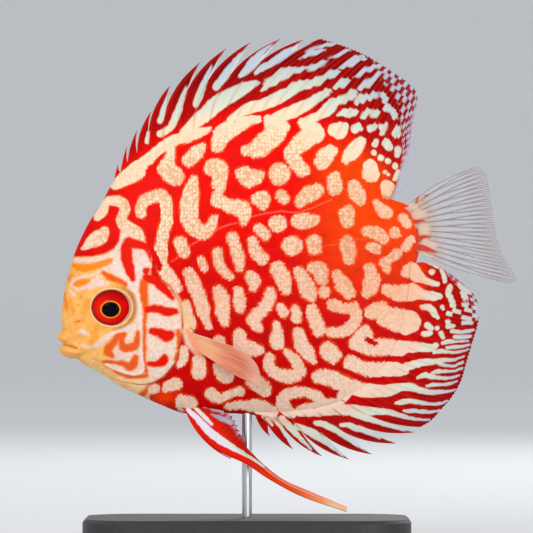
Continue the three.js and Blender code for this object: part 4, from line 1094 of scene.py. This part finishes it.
def pectoral_part(side, columns=150, rows=90, rays=13):
    k = np.linspace(0, 1, columns)
    tips = interpolate(PECTORAL_TIPS, k)
    roots = mix(np.array(PECTORAL_ROOT[0]), np.array(PECTORAL_ROOT[1]), k[:, None])
    t = np.linspace(-0.1, 1, rows)
    up = np.broadcast_to(np.maximum(t, 0)[:, None], (rows, columns))
    grid = ray_point(roots[None, :, :2], tips[None, :, :2], tips[None, :, 3], up)
    lateral = mix(roots[None, :, 2], tips[None, :, 2], np.sin(math.pi / 2 * up))
    sunk = np.minimum(t, 0)[:, None] / -0.1
    x, y = grid[..., 0] - 4 * sunk, grid[..., 1] - sunk
    lateral = lateral - 1.6 * sunk + 0.25 * np.sin(math.pi * k * 2)[None] * up
    phase = np.broadcast_to(k * (rays - 1), x.shape)
    line = branching(np.abs(phase - np.round(phase)), up)
    half = 0.12 + 0.09 * line + 0.5 * (1 - smooth(up / 0.4))
    base = blend(flat(linear(242, 172, 128), x), linear(238, 138, 108), ramp(up, 0.25, 0.3))
    base = coats(base, [
        (linear(244, 204, 180), ramp(up, 0.7, 0.25) * 0.8),
        (linear(250, 206, 160), smooth(0.5 + noise(phase * 2.2, up * 3, 1.0, 31)) * 0.35),
        (linear(250, 226, 204), (1 - ramp(phase, 0.2, 0.8)) * 0.8),
        (linear(214, 92, 56), line * 0.35),
    ])
    alpha = mix(0.93, 0.5, ramp(up, 0.2, 0.7)) + 0.15 * line
    paint = np.concatenate([np.clip(base, 0, 1), np.clip(alpha, 0, 1)[..., None]], -1)
    return shell(x, y, side * lateral, half, paint)


def pelvic_part(side, rows=300, columns=56, rays=16):
    t = np.linspace(-0.06, 1, rows)
    up = np.maximum(t, 0)
    lead, trail = interpolate(PELVIC_LEADING, up), interpolate(PELVIC_TRAILING, up)
    v = np.broadcast_to(np.linspace(0, 1, columns)[None], (rows, columns))
    comb = 0.08 * ramp(up, 0.08, 0.05) * fade(up, 0.3, 0.05) * np.abs(((up * 34) % 1) * 2 - 1)
    reach = v * (1 - comb[:, None])
    x = mix(lead[:, None, 0], trail[:, None, 0], reach) + 18 * np.minimum(t, 0)[:, None]
    y = mix(lead[:, None, 1], trail[:, None, 1], reach) + 120 * np.minimum(t, 0)[:, None]
    up = np.broadcast_to(up[:, None], x.shape)
    wave = 0.5 * smooth(up / 0.1) * (1 - up) * np.sin(math.pi * 3 * v)
    lateral = mix(*PELVIC_SPREAD, np.sin(math.pi / 2 * up)) + wave + np.minimum(t, 0)[:, None] * 34
    phase = v * (rays - 1)
    line = np.exp(-(((phase - np.round(phase)) / 0.22) ** 2)) * (1 - ramp(up, 0.55, 0.3))
    half = 0.13 + 0.1 * line + 0.4 * (1 - smooth(up / 0.3)) + 0.26 * ramp(up, 0.5, 0.2) * np.sin(math.pi * v)
    wob_x, wob_y = x + 0.4 * noise(x, y, 3, 41), y + 0.4 * noise(x, y, 3, 42)
    base = blend(flat(linear(222, 20, 6), x), linear(176, 4, 4), ramp(v, 0.55, 0.3))
    base = coats(base, [
        (linear(240, 66, 16), line * 0.3),
        (linear(236, 80, 20), ramp(x, 245, 50)),
        (linear(250, 150, 90), ramp(x, 292, 30)),
        (linear(253, 210, 158), ramp(x, 318, 16)),
        # painted highlight: a pink-white line along the trailing side of the outer filament
        (linear(255, 150, 128), ramp(x, 255, 12) * ramp(v, 0.62, 0.2) * 0.7),
    ])
    white = blend(flat(linear(232, 226, 238), x), linear(226, 230, 208), ramp(v, 0.3, 0.3))
    white = white * (1 - 0.08 * line[..., None])
    base = blend(base, white, drawn(wob_x, wob_y, PELVIC_WHITE, 0.6))
    clear = drawn(wob_x, wob_y, PELVIC_CLEAR, 0.8)
    fringe = ramp(v, 0.84, 0.12) * fade(up, 0.3, 0.06) * (0.5 + 0.5 * np.sin(up * 180))
    clear = np.maximum(clear, fringe * 0.9)
    base = blend(base, CLEAR_WEB, clear * 0.85)
    paint = np.concatenate([np.clip(base, 0, 1), (0.97 - 0.4 * clear)[..., None]], -1)
    return shell(x, y, side * lateral, half, paint)


def pelvic_spine(side):
    verts, faces, paint = spine_part((187, 411), (231, 458), -0.2, 0.42, 0.12)
    t = np.clip((verts[:, 2] / CELL - (FLOOR_Y - 411)) / -47, 0, 1)
    verts[:, 1] += side * mix(*PELVIC_SPREAD, np.sin(math.pi / 4 * t)) * MM
    red = blend(np.broadcast_to(linear(226, 24, 8), (len(verts), 3)), linear(150, 4, 6), ramp(t, 0.6, 0.4))
    return verts, faces, np.concatenate([red, np.ones((len(verts), 1))], -1)


for side, name in ((-1, "left"), (1, "right")):
    make_fin(f"pectoral_web_{name}", f"pectoral_fin_{name}", [pectoral_part(side)], fin_material)
    parts = [pelvic_part(side), pelvic_spine(side)]
    make_fin(f"pelvic_web_{name}", f"pelvic_fin_{name}", parts, fin_material)


def speckled(name, dark, light, scale, low, high, metallic, bump):
    """A finish whose colour and roughness wander between two values, with a fine grain."""
    m, tree, shader = material(name, high)
    shader.inputs["Metallic"].default_value = metallic
    link = tree.links.new
    place = node(tree, "TexCoord")
    grain = node(tree, "TexNoise", [("Scale", scale), ("Detail", 4)])
    link(place.outputs["Object"], grain.inputs["Vector"])
    colour = node(tree, "Mix", data_type="RGBA")
    colour.inputs["A"].default_value = (*dark, 1)
    colour.inputs["B"].default_value = (*light, 1)
    link(grain.outputs["Fac"], colour.inputs["Factor"])
    link(colour.outputs["Result"], shader.inputs["Base Color"])
    rough = node(tree, "MapRange", [("To Min", low), ("To Max", high)])
    link(grain.outputs["Fac"], rough.inputs["Value"])
    link(rough.outputs["Result"], shader.inputs["Roughness"])
    bump_from(tree, shader, grain.outputs["Fac"], bump, 0.4)
    return m


base_finish = speckled("stand", (0.014, 0.014, 0.015), (0.03, 0.03, 0.032), 900, 0.42, 0.6, 0.0, 0.00006)
frame["nodes"]["stand_base"].data.materials[0] = base_finish
rod_finish = speckled("rod", (0.5, 0.51, 0.52), (0.62, 0.63, 0.64), 500, 0.22, 0.36, 1.0, 0.00002)
frame["nodes"]["stand_rod"].data.materials[0] = rod_finish

# A pale floor that curves up into a round backdrop
FLOOR_RADIUS, BEND, WALL_HEIGHTS = 3.2, 0.9, (1.6, 2.4)  # metres
profile = [(r, 0.0) for r in (0.5, 1.5, FLOOR_RADIUS)]
profile += [(FLOOR_RADIUS + BEND * math.sin(a), BEND - BEND * math.cos(a)) for a in np.linspace(0.1, math.pi / 2, 16)]
profile += [(FLOOR_RADIUS + BEND, z) for z in WALL_HEIGHTS]
turns = 72
verts = [(0.0, 0.0, 0.0)]
for r, z in profile:
    verts += [(r * math.cos(2 * math.pi * k / turns), r * math.sin(2 * math.pi * k / turns), z) for k in range(turns)]
faces = [(0, 1 + k, 1 + (k + 1) % turns) for k in range(turns)]
faces += (grid_faces(len(profile), turns, wrap=True) + 1).tolist()
mesh = bpy.data.meshes.new("floor")
mesh.from_pydata(verts, [], faces)
mesh.polygons.foreach_set("use_smooth", np.ones(len(faces), bool))
floor = bpy.data.objects.new("floor", mesh)
bpy.context.collection.objects.link(floor)
floor_material, tree, shader = material("floor", 0.75, 0.2)
shader.inputs["Base Color"].default_value = (0.76, 0.77, 0.78, 1)
floor.data.materials.append(floor_material)

scene_world = bpy.data.worlds.new("studio")
bpy.context.scene.world = scene_world
scene_world.use_nodes = True
scene_world.node_tree.nodes["Background"].inputs["Color"].default_value = (0.95, 0.97, 1.0, 1)
scene_world.node_tree.nodes["Background"].inputs["Strength"].default_value = 0.8
bpy.context.scene.view_settings.view_transform = "Standard"


def area(name, place, target, size, power):
    data = bpy.data.lights.new(name, "AREA")
    data.shape = "DISK"
    data.size = size
    data.energy = power
    light = bpy.data.objects.new(name, data)
    light.location = place
    light.rotation_euler = (Vector(target) - Vector(place)).to_track_quat("-Z", "Y").to_euler()
    bpy.context.collection.objects.link(light)


area("key", (-0.45, -1.0, 0.6), (0, 0, 0.08), 0.7, 5.2)
area("fill", (0.7, -0.95, 0.1), (0, 0, 0.07), 0.7, 5.2)
area("back", (0.3, 0.9, 0.7), (0, 0, 0.08), 0.6, 3.5)

camera_data = bpy.data.cameras.new("camera")
camera = bpy.data.objects.new("camera", camera_data)
bpy.context.collection.objects.link(camera)
middle = world(IMAGE_SIDE / 2, IMAGE_SIDE / 2, 0.0)
camera.location = (middle[0], -CAMERA_DISTANCE, middle[2])
camera.rotation_euler = (math.pi / 2, 0, 0)
camera_data.sensor_width = SENSOR
camera_data.lens = SENSOR * CAMERA_DISTANCE / (IMAGE_SIDE * CELL)
camera_data.clip_start = 0.01
camera_data.clip_end = 20
bpy.context.scene.camera = camera
